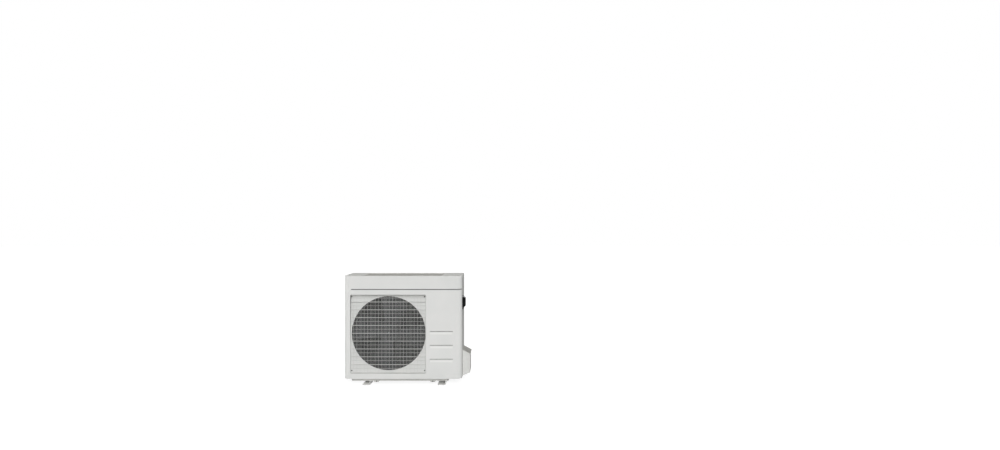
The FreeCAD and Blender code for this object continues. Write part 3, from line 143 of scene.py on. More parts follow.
def creases(mesh, test, least):
    """The edges that bend by more than an angle in degrees and pass a test on their middle."""
    found = []
    for edge in mesh.edges:
        if len(edge.link_faces) != 2 or edge.calc_face_angle(0) < math.radians(least):
            continue
        if test((edge.verts[0].co + edge.verts[1].co) / 2):
            found.append(edge)
    return found


def settle(piece, finish, body, *nodes):
    """Gives a piece its finish and smooth faces, and lets it ride with its body."""
    smooth_up_to = 32
    piece.data.materials.clear()
    piece.data.materials.append(finish)
    piece.data.shade_smooth()
    piece.data.set_sharp_from_angle(angle=math.radians(smooth_up_to))
    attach(piece, body)
    return piece


def placed(name, mesh):
    """A new object at the origin that holds a mesh."""
    data = bpy.data.meshes.new(name)
    mesh.to_mesh(data)
    mesh.free()
    piece = bpy.data.objects.new(name, data)
    bpy.context.scene.collection.objects.link(piece)
    return piece


def softened(name, node, finish, body="casing", edge=0.0004, rounds=()):
    """A CAD part with its edges rounded. Each round is a radius and a test of where it runs."""
    mesh = merged_copy(node)
    flat_angle = math.radians(0.4)
    bmesh.ops.dissolve_limit(mesh, angle_limit=flat_angle, verts=mesh.verts, edges=mesh.edges)
    for radius, test in rounds:
        bmesh.ops.bevel(mesh, geom=creases(mesh, test, 30), offset=radius, segments=4,
                        profile=0.5, affect="EDGES", clamp_overlap=False)
    if edge:
        sharp = creases(mesh, lambda spot: True, 40)
        bmesh.ops.bevel(mesh, geom=sharp, offset=edge, segments=2,
                        profile=0.5, affect="EDGES", clamp_overlap=True)
    piece = placed(name, mesh)
    settle(piece, finish, body, node)
    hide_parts(node)
    level = piece.modifiers.new("level_faces", "WEIGHTED_NORMAL")
    level.keep_sharp = True
    return piece


# The feet get the lightest coat: painted light, that makes up for the shade they sit in under the
# body. The pan is a greyer one, and the dust that rain throws up from the ground lies on it
# thickest.
feet_coat_with_painted_light = powder_coat("powder_coated_steel_feet_painted_light", "#f2f2f0", "#ecece9", "#b5b0a4", most=0.1)
coated_pan = powder_coat("powder_coated_steel_pan", "#c6c6c3", "#bfc0bd", "#8f897c", most=0.35)
softened("pan", "base_pan", coated_pan)
for side in ("left", "right"):
    softened(f"{side}_rail", f"{side}_foot", feet_coat_with_painted_light)


# Drain spigot. Black polyamide, moulded, pushed through the trough and held by its flange. It
# sheds the meltwater of the coil into a hose.
def moulded(name, colour, shade, rough, grain, height, shine=0.4):
    """A moulded or sprayed skin. The size and height of its grain are in millimetres."""
    made, tree, shader = new_finish(name, IOR=1.5, Specular_IOR_Level=shine)
    body = mottle(tree, 30, linear(colour), linear(shade))
    gloss = mottle(tree, 12, grey(rough - 0.06), grey(rough + 0.06))
    tree.links.new(body, shader.inputs["Base Color"])
    tree.links.new(gloss, shader.inputs["Roughness"])
    relief(tree, shader, grain, height)
    return made


# Polyamide from a spark-eroded mould is a matt, nearly even black. The mould's real grain is
# about 0.2 mm; it is drawn 0.9 mm wide, so that it still shows.
black_polyamide = moulded("black_moulded_polyamide", "#0e0e0f", "#141415",
                          0.55, 0.9, 0.04, shine=0.04)
softened("condensate_spigot", "drain_spigot", black_polyamide, edge=0.0002)


# Coil. Aluminium fins are stamped with collars and slid over copper hairpins, which are then
# widened to hold them. The block is bent to an L, with a zinc-coated plate at each end.
def bare_metal(name, light, dark, patch, rough, grain=0.8, height=0.01, stretch=(1, 1, 1)):
    """Metal with no paint on it: patches of tarnish, and scratches or grain as a low relief.
    The sizes of a patch and a grain, and the relief's height, are in millimetres."""
    made, tree, shader = new_finish(name, Metallic=1.0)
    body = mottle(tree, patch, linear(light), linear(dark))
    gloss = mottle(tree, patch / 3, grey(rough - 0.08), grey(rough + 0.1))
    tree.links.new(body, shader.inputs["Base Color"])
    tree.links.new(gloss, shader.inputs["Roughness"])
    relief(tree, shader, grain, height, 3.0, stretch)
    return made


def new_tree(name, **inputs):
    """A Geometry Nodes tree with named inputs. Returns it with the sockets that feed it."""
    kinds = {int: "NodeSocketInt", float: "NodeSocketFloat", tuple: "NodeSocketVector"}
    tree = bpy.data.node_groups.new(name, "GeometryNodeTree")
    sockets = tree.interface
    sockets.new_socket(name="Base", in_out="INPUT", socket_type="NodeSocketGeometry")
    for label, value in inputs.items():
        made = sockets.new_socket(name=label, in_out="INPUT", socket_type=kinds[type(value)])
        made.default_value = value
    sockets.new_socket(name="Result", in_out="OUTPUT", socket_type="NodeSocketGeometry")
    return tree, tree.nodes.new("NodeGroupInput").outputs


def end_tree(tree, shape, finish):
    """Ends a tree: real geometry in place of instances, and its material."""
    real = add(tree, "GeometryNodeRealizeInstances", {"Geometry": shape})
    coated = add(tree, "GeometryNodeSetMaterial", {
        "Geometry": real.outputs["Geometry"], "Material": finish,
    })
    last = tree.nodes.new("NodeGroupOutput")
    tree.links.new(coated.outputs["Geometry"], last.inputs["Result"])
    return tree


def grown(name, tree, finish, body, nodes, base=None, **sizes):
    """Runs a tree with its sizes and keeps the result as a plain mesh."""
    start = base or bpy.data.meshes.new(name)
    piece = bpy.data.objects.new(name, start)
    bpy.context.scene.collection.objects.link(piece)
    change = piece.modifiers.new("grow", "NODES")
    change.node_group = tree
    for item in tree.interface.items_tree:
        if item.in_out == "INPUT" and item.name in sizes:
            change[item.identifier] = sizes[item.name]
    seen = piece.evaluated_get(bpy.context.evaluated_depsgraph_get())
    result = bpy.data.meshes.new_from_object(seen)
    piece.modifiers.remove(change)
    piece.data = result
    return settle(piece, finish, body, *nodes)


def fin_tree(finish):
    """Fins along a path: thin wavy plates that stand across it at an even pitch."""
    waves, columns = 6, 49
    tree, given = new_tree("fins_on_a_path", pitch=0.003, depth=0.036, height=0.7, wave=0.0007)
    path = add(tree, "GeometryNodeMeshToCurve", {"Mesh": given["Base"]})
    points = add(tree, "GeometryNodeCurveToPoints", {
        "Curve": path.outputs["Curve"], "Length": given["pitch"],
    }, mode="LENGTH")
    plate = add(tree, "GeometryNodeMeshGrid", {
        "Size X": given["depth"], "Size Y": given["height"],
        "Vertices X": columns, "Vertices Y": 2,
    })
    spot = add(tree, "GeometryNodeInputPosition")
    across = add(tree, "ShaderNodeSeparateXYZ", {"Vector": spot.outputs["Position"]}).outputs["X"]
    share = add(tree, "ShaderNodeMath", {0: across, 1: given["depth"]}, operation="DIVIDE")
    turn = add(tree, "ShaderNodeMath", {
        0: share.outputs[0], 1: math.tau * waves,
    }, operation="MULTIPLY")
    swing = add(tree, "ShaderNodeMath", {0: turn.outputs[0]}, operation="SINE")
    lift = add(tree, "ShaderNodeMath", {
        0: swing.outputs[0], 1: given["wave"],
    }, operation="MULTIPLY")
    shift = add(tree, "ShaderNodeCombineXYZ", {"Z": lift.outputs[0]})
    wavy = add(tree, "GeometryNodeSetPosition", {
        "Geometry": plate.outputs["Mesh"], "Offset": shift.outputs["Vector"],
    })
    upright = add(tree, "GeometryNodeTransform", {
        "Geometry": wavy.outputs["Geometry"], "Rotation": (math.pi / 2, 0, math.pi / 2),
    })
    facing = add(tree, "FunctionNodeAlignRotationToVector", {
        "Vector": points.outputs["Tangent"],
    }, axis="X", pivot_axis="Z")
    fins = add(tree, "GeometryNodeInstanceOnPoints", {
        "Points": points.outputs["Points"], "Instance": upright.outputs["Geometry"],
        "Rotation": facing.outputs["Rotation"],
    })
    return end_tree(tree, fins.outputs["Instances"], finish)


def bare_path(name, points):
    """A mesh of joined points, for a tree that follows them."""
    data = bpy.data.meshes.new(name)
    data.from_pydata(points, [(n, n + 1) for n in range(len(points) - 1)], [])
    return data


# Aluminium foil, drawn a dark grey as painted shade for the dark inside of the unit: dull, with
# faint streaks 4 mm wide that run down it where water drains, and dust in its lower third.
shaded_fin_coat, tree, shader = new_finish("aluminium_fin_painted_shade", IOR=1.5, Specular_IOR_Level=0.15)
streaks = mottle(tree, 4, linear("#232628"), linear("#191b1d"), 3.0, (1, 1, 0.05))
dust_top = 0.3
soiled = dusted(tree, streaks, linear("#6b675e"), dust_top, 0.35)
tree.links.new(soiled, shader.inputs["Base Color"])
tree.links.new(mottle(tree, 10, grey(0.42), grey(0.6)), shader.inputs["Roughness"])

low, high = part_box("coil_fins")
fin_depth, fin_pitch, fin_wave, end_gap = 0.036, 0.0016, 0.0013, 0.001
outer_bend = 0.058
bend_radius = outer_bend - fin_depth / 2
middle_x = low.x + fin_depth / 2
middle_y = high.y - fin_depth / 2
middle_z = (low.z + high.z) / 2
bend_x, bend_y = middle_x + bend_radius, middle_y - bend_radius
bend_steps = 12
route = [(middle_x, low.y + end_gap, middle_z)]
for step in range(bend_steps + 1):
    angle = math.pi - math.pi / 2 * step / bend_steps
    route.append((bend_x + bend_radius * math.cos(angle),
                  bend_y + bend_radius * math.sin(angle), middle_z))
route.append((high.x - end_gap, middle_y, middle_z))
fins = grown("fin_block", fin_tree(shaded_fin_coat), shaded_fin_coat, "casing", ["coil_fins"],
             bare_path("fin_route", route), pitch=fin_pitch, depth=fin_depth - end_gap,
             height=high.z - low.z, wave=fin_wave)
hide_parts("coil_fins")

# Drawn copper keeps a warm polish with brown clouds of tarnish 30 mm wide.
copper = bare_metal("drawn_copper_tube", "#b87455", "#8a5238", 30, 0.32)
# Hot-dip zinc shows its flower-like crystals, about 12 mm across, as lighter and darker greys.
galvanised = bare_metal("zinc_coated_sheet", "#b4b9bb", "#989ea1", 12, 0.42)
softened("hairpin_bends", "return_bends", copper, edge=0)
softened("end_plates", "coil_end_plates", galvanised)
for name, node in (
    ("header", "coil_header"),
    ("coil_pipe", "coil_gas_pipe"),
    ("distributor_tube", "distributor"),
    ("thin_tubes", "capillary_tubes"),
    ("liquid_line", "liquid_pipe"),
    ("hot_gas_lines", "hot_gas_pipes"),
    ("suction_lines", "suction_pipes"),
):
    softened(name, node, copper, edge=0)


# Partition and motor bracket. Zinc-coated sheet, cut and folded; the bracket stands on the pan
# behind the fan and carries the motor by its four ears.
softened("partition", "partition_plate", galvanised)
# Electrocoat is a thin dark skin that follows the steel: a dull, slightly wavy dark grey. On the
# bracket the dark grey is painted shade, so that it sinks into the shadow behind the fan.
dark_coat_and_shade = moulded("electrocoat_and_painted_shade", "#1b1c1e", "#232426", 0.52, 1.4, 0.03, shine=0.15)
softened("bracket", "motor_bracket", dark_coat_and_shade)
# Die casting leaves a cloudy, grainy grey skin.
motor_grey = bare_metal("die_cast_aluminium", "#8d9193", "#777b7e", 20, 0.5, 1.2, 0.03)
softened("motor", "fan_motor", motor_grey)
# Grinding leaves steel bright. Its marks are finer than the 0.8 mm at which they are drawn.
ground_steel = bare_metal("ground_steel", "#b9bcbe", "#a4a7a9", 10, 0.28)
softened("shaft", "fan_shaft", ground_steel, "fan_rotor", edge=0.0003)
softened("nut", "fan_nut", dark_coat_and_shade, "fan_rotor", edge=0.0006)


# Fan. One moulding in glass-filled polypropylene: a hub with a rounded nose and four wide blades
# that sweep forwards. It is pushed on the shaft and held by the nut.
def blade_mesh(mesh, centre, first, hub, tip):
    """One curved blade. Rows run from the hub to the tip and columns from edge to edge.
    Chord, angle and thickness change from the hub outwards, and the thickness closes at both
    edges. The blade leans, so a few tries bring each point to its radius from the shaft."""
    rows, columns, tries = 14, 20, 12
    inner, outer = 0.03875, 0.2818
    chords, angles = (0.128, 0.236), (44, 21)
    thickness, camber, sweep = 0.0032, 0.09, 0.046
    turn = math.radians(first)
    faces = {1: [], -1: []}
    for row in range(rows + 1):
        target = hub + (tip - hub) * row / rows
        for side in (1, -1):
            line = []
            for column in range(columns + 1):
                v = -math.cos(math.pi * column / columns)
                reach = target
                for _ in range(tries):
                    share = (reach - inner) / (outer - inner)
                    chord = chords[0] + (chords[1] - chords[0]) * share
                    angle = math.radians(angles[0] + (angles[1] - angles[0]) * share)
                    half = thickness * (1.25 - 0.5 * share) / 2 * math.sqrt(max(0, 1 - v ** 4))
                    along = chord / 2 * v
                    up = camber * chord * (1 - v * v) + side * half
                    y = along * math.cos(angle) - up * math.sin(angle) + sweep * share * share
                    z = along * math.sin(angle) + up * math.cos(angle)
                    reach = math.sqrt(max(1e-6, target * target - y * y))
                flat_x = reach * math.cos(turn) - y * math.sin(turn)
                flat_z = reach * math.sin(turn) + y * math.cos(turn)
                line.append(mesh.verts.new((centre[0] + flat_x, centre[1] - z, centre[2] + flat_z)))
            faces[side].append(line)
    for side in (1, -1):
        grid = faces[side]
        for row in range(rows):
            for column in range(columns):
                mesh.faces.new([grid[row][column], grid[row][column + 1],
                                grid[row + 1][column + 1], grid[row + 1][column]])
    for end in (0, rows):
        for column in range(columns):
            mesh.faces.new([faces[1][end][column], faces[1][end][column + 1],
                            faces[-1][end][column + 1], faces[-1][end][column]])


def lathe(mesh, profile, centre, steps=96):
    """Turns a profile of (radius, distance towards the front) round an axis along Y."""
    rings = []
    for radius, ahead in profile:
        ring = []
        for step in range(steps):
            angle = math.tau * step / steps
            ring.append(mesh.verts.new((centre[0] + radius * math.cos(angle), centre[1] - ahead,
                                        centre[2] + radius * math.sin(angle))))
        rings.append(ring)
    for near, far in zip(rings, rings[1:] + rings[:1]):
        for step in range(steps):
            after = (step + 1) % steps
            mesh.faces.new([near[step], near[after], far[after], far[step]])


shaft_low, shaft_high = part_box("fan_shaft")
fan_plane = -0.093
fan_centre = Vector(((shaft_low.x + shaft_high.x) / 2, fan_plane, (shaft_low.z + shaft_high.z) / 2))
hub_radius, tip_radius, hub_half, bore = 0.0775, 0.271, 0.042, 0.00505
nose_round, round_steps, root_sunk = 0.02, 6, 0.002
wall, nose_wall, boss, boss_gap, groove = 0.003, 0.004, 0.013, 0.003, 0.002
blade_count, first_blade, rib_count = 4, 74, 12
mesh = bmesh.new()
for number in range(blade_count):
    turn = first_blade + 360 / blade_count * number
    blade_mesh(mesh, fan_centre, turn, hub_radius - root_sunk, tip_radius)
# The hub's face has a shallow ring groove round the nut, and its back is open.
hub_profile = [(bore, hub_half), (0.016, hub_half), (0.018, hub_half - groove),
               (0.03, hub_half - groove), (0.033, hub_half), (hub_radius - nose_round, hub_half)]
for step in range(1, round_steps + 1):
    angle = math.pi / 2 * step / round_steps
    hub_profile.append((hub_radius - nose_round + nose_round * math.sin(angle),
                        hub_half - nose_round + nose_round * math.cos(angle)))
hub_profile += [(hub_radius, -hub_half), (hub_radius - wall, -hub_half),
                (hub_radius - wall, hub_half - nose_round), (hub_radius - 0.01, hub_half - 0.007),
                (hub_radius - 0.022, hub_half - nose_wall), (boss, hub_half - nose_wall),
                (boss, boss_gap - hub_half), (bore, boss_gap - hub_half)]
lathe(mesh, hub_profile, fan_centre)
# Thin ribs join the hub's rim to the boss that sits on the shaft.
for number in range(rib_count):
    angle = math.tau * number / rib_count
    arm = Vector((math.cos(angle), 0, math.sin(angle)))
    across = Vector((-math.sin(angle), 0, math.cos(angle))) * 0.001
    inside, outside = arm * 0.0125, arm * (hub_radius - 0.0025)
    front_end, back_end = Vector((0, 0.006 - hub_half, 0)), Vector((0, hub_half - 0.02, 0))
    corners = [fan_centre + place + side + end
               for end in (front_end, back_end)
               for side in (across, -across)
               for place in (inside, outside)]
    points = [mesh.verts.new(corner) for corner in corners]
    for face in ((0, 1, 3, 2), (4, 6, 7, 5), (0, 4, 5, 1),
                 (2, 3, 7, 6), (0, 2, 6, 4), (1, 5, 7, 3)):
        mesh.faces.new([points[n] for n in face])
bmesh.ops.remove_doubles(mesh, verts=mesh.verts, dist=1e-5)
bmesh.ops.recalc_face_normals(mesh, faces=mesh.faces)
# Glass-filled polypropylene is a dull dark grey, lighter where its fibres reach the skin. The
# fibres are far finer than the 2 mm at which their texture is drawn.
glass_filled = moulded("glass_filled_polypropylene", "#3b3c3e", "#323335",
                       0.46, 2, 0.04, shine=0.12)
fan = settle(placed("axial_fan", mesh), glass_filled, "fan_rotor", "fan")
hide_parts("fan")


# Bell mouth. Polystyrene sheet, vacuum formed to a ring, clipped behind the round opening. It is
# drawn dark grey: painted shade for the shadow inside the ring. Forming stretches the skin, which
# leaves a soft unevenness 4 mm wide and a faint sheen.
shaded_polystyrene = moulded("vacuum_formed_polystyrene", "#303132", "#28292a",
                           0.45, 4, 0.05, shine=0.12)
softened("air_ring", "bell_mouth", shaded_polystyrene, edge=0)


# Compressor and accumulator. Deep-drawn steel shells, welded round and enamelled black, on
# rubber grommets. The enamel is glossy, with slight runs 6 mm wide that are drawn out downwards.
def enamelled(name, colour, shade):
    """Thick glossy enamel that has run a little before it set."""
    made, tree, shader = new_finish(name, IOR=1.52, Coat_Weight=0.5, Coat_Roughness=0.2)
    body = mottle(tree, 60, linear(colour), linear(shade))
    gloss = mottle(tree, 30, grey(0.28), grey(0.44))
    tree.links.new(body, shader.inputs["Base Color"])
    tree.links.new(gloss, shader.inputs["Roughness"])
    relief(tree, shader, 6, 0.06, 1.0, (1, 1, 0.3))
    return made


black_enamel = enamelled("black_enamel", "#121213", "#1a1a1b")
for name, node in (
    ("compressor_shell", "compressor"),
    ("suction_accumulator", "accumulator"),
    ("choke", "reactor"),
):
    softened(name, node, black_enamel)
softened("terminal_cap", "terminal_cover", black_polyamide)
# Moulded rubber is dull and a little brown where it has bloomed.
soft_rubber = moulded("moulded_rubber", "#151514", "#1d1c1b", 0.75, 1.2, 0.06)
softened("grommets", "compressor_grommets", soft_rubber, edge=0.0006)
# Clear-passivated zinc plate is bright and faintly uneven.
bright_zinc = bare_metal("bright_zinc_plate", "#c3c6c4", "#aeb2ae", 4, 0.3)
softened("grommet_bolts", "compressor_bolts", bright_zinc)


# Plate exchanger and valves. Pressed stainless plates are brazed with copper in a furnace; the
# valves and water fittings are turned and forged brass.
# Bright steel, with the edges of the stacked plates as upright lines 2.8 mm apart: the relief is
# drawn out along the plates.
stainless = bare_metal("brazed_stainless_plates", "#b0b2b2", "#9a9c9b",
                       50, 0.34, 2.8, 0.3, (0.02, 1, 0.02))
softened("plate_pack", "plate_exchanger", stainless, edge=0.001)
softened("exchanger_stand", "plate_stand", galvanised)
# Turned brass is yellow and bright, with darker clouds where it has been handled.
brass = bare_metal("turned_brass", "#b89a5a", "#9c7f45", 20, 0.34)
for name, node in (
    ("reversing_valve", "four_way_valve"),
    ("throttle_valve", "expansion_valve"),
    ("unions", "water_unions"),
    ("relief_valve", "safety_valve"),
    ("vent", "air_vent"),
):
    softened(name, node, brass)
softened("valve_coil", "four_way_coil", black_polyamide, edge=0.001)


# Water side. Copper pipe, a cast pump body with an electrocoated finish, and a red relief knob
# that a quarter turn lifts off its seat.
for name, node in (
    ("return_line", "return_pipe"),
    ("supply_line", "supply_pipe"),
    ("pump_line", "pump_pipe"),
):
    softened(name, node, copper, edge=0)
# Sand-cast iron keeps the mould's coarse grain, 2 mm wide and 0.2 mm high, under its thin coat.
cast_iron = moulded("electrocoated_cast_iron", "#1d1e20", "#27282a", 0.58, 2.2, 0.22)
softened("pump", "circulation_pump", cast_iron, edge=0.001)
softened("paddle_switch", "flow_switch", black_polyamide, edge=0.001)
# ABS takes a strong even red and a half gloss from a polished mould.
red_plastic = moulded("red_moulded_abs", "#8f1714", "#7d1210", 0.36, 0.9, 0.03)
softened("relief_knob", "safety_knob", red_plastic, "safety_knob_turn")


# Electrical box. Folded zinc-coated sheet with a lid; the board's heat sink reaches through the
# partition into the air stream. The board is glass-epoxy.
softened("box", "electrical_box", galvanised)
softened("box_lid", "electrical_box_lid", galvanised)
# Solder mask is a clear green varnish. It is lighter over the tracks, which here run 8.3 mm
# apart and 0.5 mm wide, coarser than real ones. A brick is half a unit long in its texture.
board, tree, shader = new_finish("solder_mask_on_glass_epoxy", Roughness=0.3, IOR=1.5)
spot = add(tree, "ShaderNodeTexCoord").outputs["Object"]
track_pitch, track_width = 1 / 120, 0.0005
bricks_per_metre = 0.5 / track_pitch
tracks = add(tree, "ShaderNodeTexBrick", {
    "Vector": spot, "Scale": bricks_per_metre, "Mortar Size": track_width * bricks_per_metre,
    "Color1": linear("#12492c"), "Color2": linear("#0f3d25"), "Mortar": linear("#2d7a4c"),
})
tree.links.new(tracks.outputs["Color"], shader.inputs["Base Color"])
softened("circuit_board", "inverter_board", board)
# Extruded aluminium is a pale satin metal.
fin_stock = bare_metal("extruded_aluminium", "#b3b7b9", "#9da2a5", 20, 0.36)
softened("finned_sink", "heat_sink", fin_stock)
# Unpainted polycarbonate is a light warm grey with a half gloss.
light_plastic = moulded("light_moulded_polycarbonate", "#b9b9b4", "#aeaea9", 0.42, 1, 0.03)
softened("terminals", "terminal_block", light_plastic)


# Front panel. Steel sheet about 1 mm thick, pressed with a recess for the guard, a round opening
# and three louvres, wrapped round both corners, and powder coated on all sides.
low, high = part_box("front_panel")
front = low.y
louvre_back, recess_floor, recess_back = front + 0.0095, front + 0.0115, front + 0.0145
recess_left, recess_right, recess_low, recess_high = -0.415, 0.175, 0.083, 0.697
recess_middle, screw_beside, screw_off, screw_reach = -0.1205, 0.280, 0.36, 0.006
past_the_opening = 0.285 + 0.003
round_of_recess, round_of_louvre = 0.0026, 0.0006


def round_the_recess(spot):
    """The edges of the recess, but not those of the opening or of the small screw holes."""
    off = Vector((spot.x - fan_centre.x, 0, spot.z - fan_centre.z)).length
    inside = recess_left < spot.x < recess_right and recess_low < spot.z < recess_high
    beside = abs(spot.x - recess_middle)
    by_a_screw = abs(beside - screw_beside) < screw_reach and off > screw_off
    screw_hole = by_a_screw and recess_floor < spot.y
    return spot.y < recess_back and inside and off > past_the_opening and not screw_hole


def on_the_louvres(spot):
    """The edges of the three louvres, which lie low on the right of the panel."""
    return spot.y < louvre_back and 0.19 < spot.x < 0.39 and 0.15 < spot.z < 0.43


def within(tree, low, high, soft):
    """One inside a box that is given by two corners, and nothing further out than a soft edge."""
    middle = [(a + b) / 2 for a, b in zip(low, high)]
    half = [(b - a) / 2 for a, b in zip(low, high)]
    spot = add(tree, "ShaderNodeTexCoord").outputs["Object"]
    away = add(tree, "ShaderNodeVectorMath", {0: spot, 1: middle}, operation="SUBTRACT").outputs[0]
    away = add(tree, "ShaderNodeVectorMath", {0: away}, operation="ABSOLUTE").outputs[0]
    away = add(tree, "ShaderNodeVectorMath", {0: away, 1: half}, operation="SUBTRACT").outputs[0]
    parts = add(tree, "ShaderNodeSeparateXYZ", {"Vector": away}).outputs
    far = parts["X"]
    for axis in ("Y", "Z"):
        far = add(tree, "ShaderNodeMath", {0: far, 1: parts[axis]}, operation="MAXIMUM").outputs[0]
    return add(tree, "ShaderNodeMapRange", {
        "Value": far, "From Max": soft, "To Min": 1.0, "To Max": 0.0,
    }).outputs[0]


def painted_film(finish, mask, colour, most, patch):
    """Lays a broken film of colour over a finish where a mask says so, as painted shadow, shade and
    highlight. Its patches are in millimetres.
    """
    tree = finish.node_tree
    base = tree.nodes["Principled BSDF"].inputs["Base Color"]
    film = mottle(tree, patch, grey(most * 0.7), grey(most), 5.0)
    share = add(tree, "ShaderNodeMath", {0: mask, 1: film}, operation="MULTIPLY").outputs[0]
    mixed = add(tree, "ShaderNodeMix", {
        "Factor": share, 6: base.links[0].from_socket, 7: linear(colour),
    }, data_type="RGBA")
    tree.links.new(mixed.outputs[2], base)


# The front's coat is a clean light grey-white. Painted shadow lies close under the overhanging top
# of each louvre and under the top edge of the recess. The lower part of a louvre gets a painted
# highlight, a little lighter.
coated_front = powder_coat("powder_coated_steel_front", "#dcdcda", "#d7d8d6", "#a59f92", most=0.06)
tree = coated_front.node_tree
painted_shadow, painted_highlight, film_patch = "#4d4a44", "#e4e4e2", 20
outermost, innermost = front + 0.0006, front + 0.009
louvre_tops = (0.200, 0.307, 0.414)
shadow_drop, highlight_from, highlight_to = 0.0044, 0.024, 0.013
for top in louvre_tops:
    under = within(tree, (0.201, outermost, top - shadow_drop), (0.376, innermost, top), 0.0016)
    painted_film(coated_front, under, painted_shadow, 0.8, film_patch)
    step = within(tree, (0.203, outermost, top - highlight_from),
                  (0.374, innermost, top - highlight_to), 0.003)
    painted_film(coated_front, step, painted_highlight, 0.9, film_patch)
# The painted shadow under the recess's top edge lies on its floor and fades out over 22 mm
# downwards.
recess_top = within(tree, (-0.4105, front + 0.0105, 0.66), (0.1695, front + 0.0135, 0.6935), 0.0008)
fading = within(tree, (-1, -1, 0.690), (1, 1, 0.700), 0.022)
film = add(tree, "ShaderNodeMath", {0: recess_top, 1: fading}, operation="MULTIPLY").outputs[0]
painted_film(coated_front, film, painted_shadow, 0.62, film_patch)
casing = softened("front_casing", "front_panel", coated_front, rounds=[
    (round_of_recess, round_the_recess), (round_of_louvre, on_the_louvres),
])

# The pressed line above the guard is drawn a dull dark grey: painted shadow, which stands for the
# shade in the groove and reads as a thin shadow from afar. The paint has a grain of 1 mm.
groove_shadow_paint = moulded("painted_groove_shadow", "#6e6e6d", "#767675", 0.6, 1, 0.02, shine=0.1)
casing.data.materials.append(groove_shadow_paint)
line_level, line_half = high.z - 0.1028, 0.0038
for face in casing.data.polygons:
    outward = face.normal.y < 0.5 and face.normal.x > -0.5
    if outward and abs(face.center.z - line_level) < line_half:
        face.material_index = 1


# Lid. One steel pressing with a raised field that stiffens it, screwed to the sides. Rain and
# sun have made its coat matt. It is drawn a little greyer than the front, and darker still on the
# raised field: painted shade.
lid_coat_with_shade = powder_coat("powder_coated_steel_lid_shade", "#d6d6d3", "#cdcdc9", "#a59f92",
                              rough=0.72, shine=0.0)
field_low, field_high = (-0.316, -0.125, 0.830), (0.289, 0.125, 0.8372)
field_shade = within(lid_coat_with_shade.node_tree, field_low, field_high, 0.001)
painted_film(lid_coat_with_shade, field_shade, "#a3a19b", 0.8, 30)
softened("lid", "top_cover", lid_coat_with_shade)


# Sides and back. Steel sheet with folded edges, powder coated, that meets the front panel in a
# thin seam. The coat is drawn a greyer white than the front's, as painted shade. It is quite dull,
# with dust at its foot.
side_coat_with_shade = powder_coat("powder_coated_steel_side_shade", "#cbccc9", "#c3c4c1", "#96907f",
                        rough=0.6, most=0.3, shine=0.0)
for name, node in (
    ("right_casing", "right_side_panel"),
    ("left_casing", "left_side_panel"),
    ("rear_casing", "rear_panel"),
):
    softened(name, node, side_coat_with_shade)


# Guards. Drawn steel wire, welded where it crosses and dipped in light polyethylene, which
# leaves soft fillets. The front one has strong bars, uprights in two sizes and thin rear bars.
def rod_tree(finish):
    """Straight round rods, set out in a row."""
    sides = 10
    tree, given = new_tree("row_of_rods", first=(0, 0, 0), step=(0, 0, 0), run=(0, 0, 0),
                           number=2, radius=0.002)
    row = add(tree, "GeometryNodeMeshLine", {
        "Count": given["number"], "Start Location": given["first"], "Offset": given["step"],
    })
    axis = add(tree, "GeometryNodeCurvePrimitiveLine", {"Start": (0, 0, 0), "End": given["run"]})
    section = add(tree, "GeometryNodeCurvePrimitiveCircle", {
        "Resolution": sides, "Radius": given["radius"],
    })
    rod = add(tree, "GeometryNodeCurveToMesh", {
        "Curve": axis.outputs["Curve"], "Profile Curve": section.outputs["Curve"],
        "Fill Caps": True,
    })
    rods = add(tree, "GeometryNodeInstanceOnPoints", {
        "Points": row.outputs["Mesh"], "Instance": rod.outputs["Mesh"],
    })
    return end_tree(tree, rods.outputs["Instances"], finish)


# Dipped polyethylene is a soft light grey, waxy and uneven at about 2 mm where it has flowed.
coated_wire = moulded("polyethylene_on_wire", "#cdcdca", "#c5c6c3", 0.45, 2, 0.03)
rods = rod_tree(coated_wire)

# Front guard. The wires sink 0.2 mm into each other where they are welded.
low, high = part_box("fan_guard")
width, height = high.x - low.x, high.z - low.z
strong, thin, wire, fine, edge, sunk = 0.002, 0.0009, 0.001, 0.0007, 0.0015, 0.0002
rows, columns = 20, 26
row, column = height / rows, width / (columns + 1)
front_layer = low.y + strong
middle_layer = front_layer + strong + wire - sunk
rear_layer = middle_layer + wire + thin - sunk
level_run, upright_run = (width, 0, 0), (0, 0, height)
for name, first, step, run, number, radius in (
    ("strong_bars", (low.x, front_layer, low.z + row / 4), (0, 0, row * 2),
     level_run, rows // 2, strong),
    ("thin_bars", (low.x, rear_layer, low.z + row * 1.25), (0, 0, row * 2),
     level_run, rows // 2, thin),
    ("uprights", (low.x + column, middle_layer, low.z), (column, 0, 0),
     upright_run, columns, wire),
    ("fine_uprights", (low.x + column / 2, middle_layer, low.z), (column, 0, 0),
     upright_run, columns + 1, fine),
    ("guard_frame_0", (low.x, middle_layer, low.z + edge), (0, 0, height - edge * 2),
     level_run, 2, edge),
    ("guard_frame_1", (low.x + edge, middle_layer, low.z), (width - edge * 2, 0, 0),
     upright_run, 2, edge),
):
    made = grown(name, rods, coated_wire, "casing", ["fan_guard"], first=first, step=step,
                 run=run, number=number, radius=radius)
    if name == "strong_bars":
        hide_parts("fan_guard")

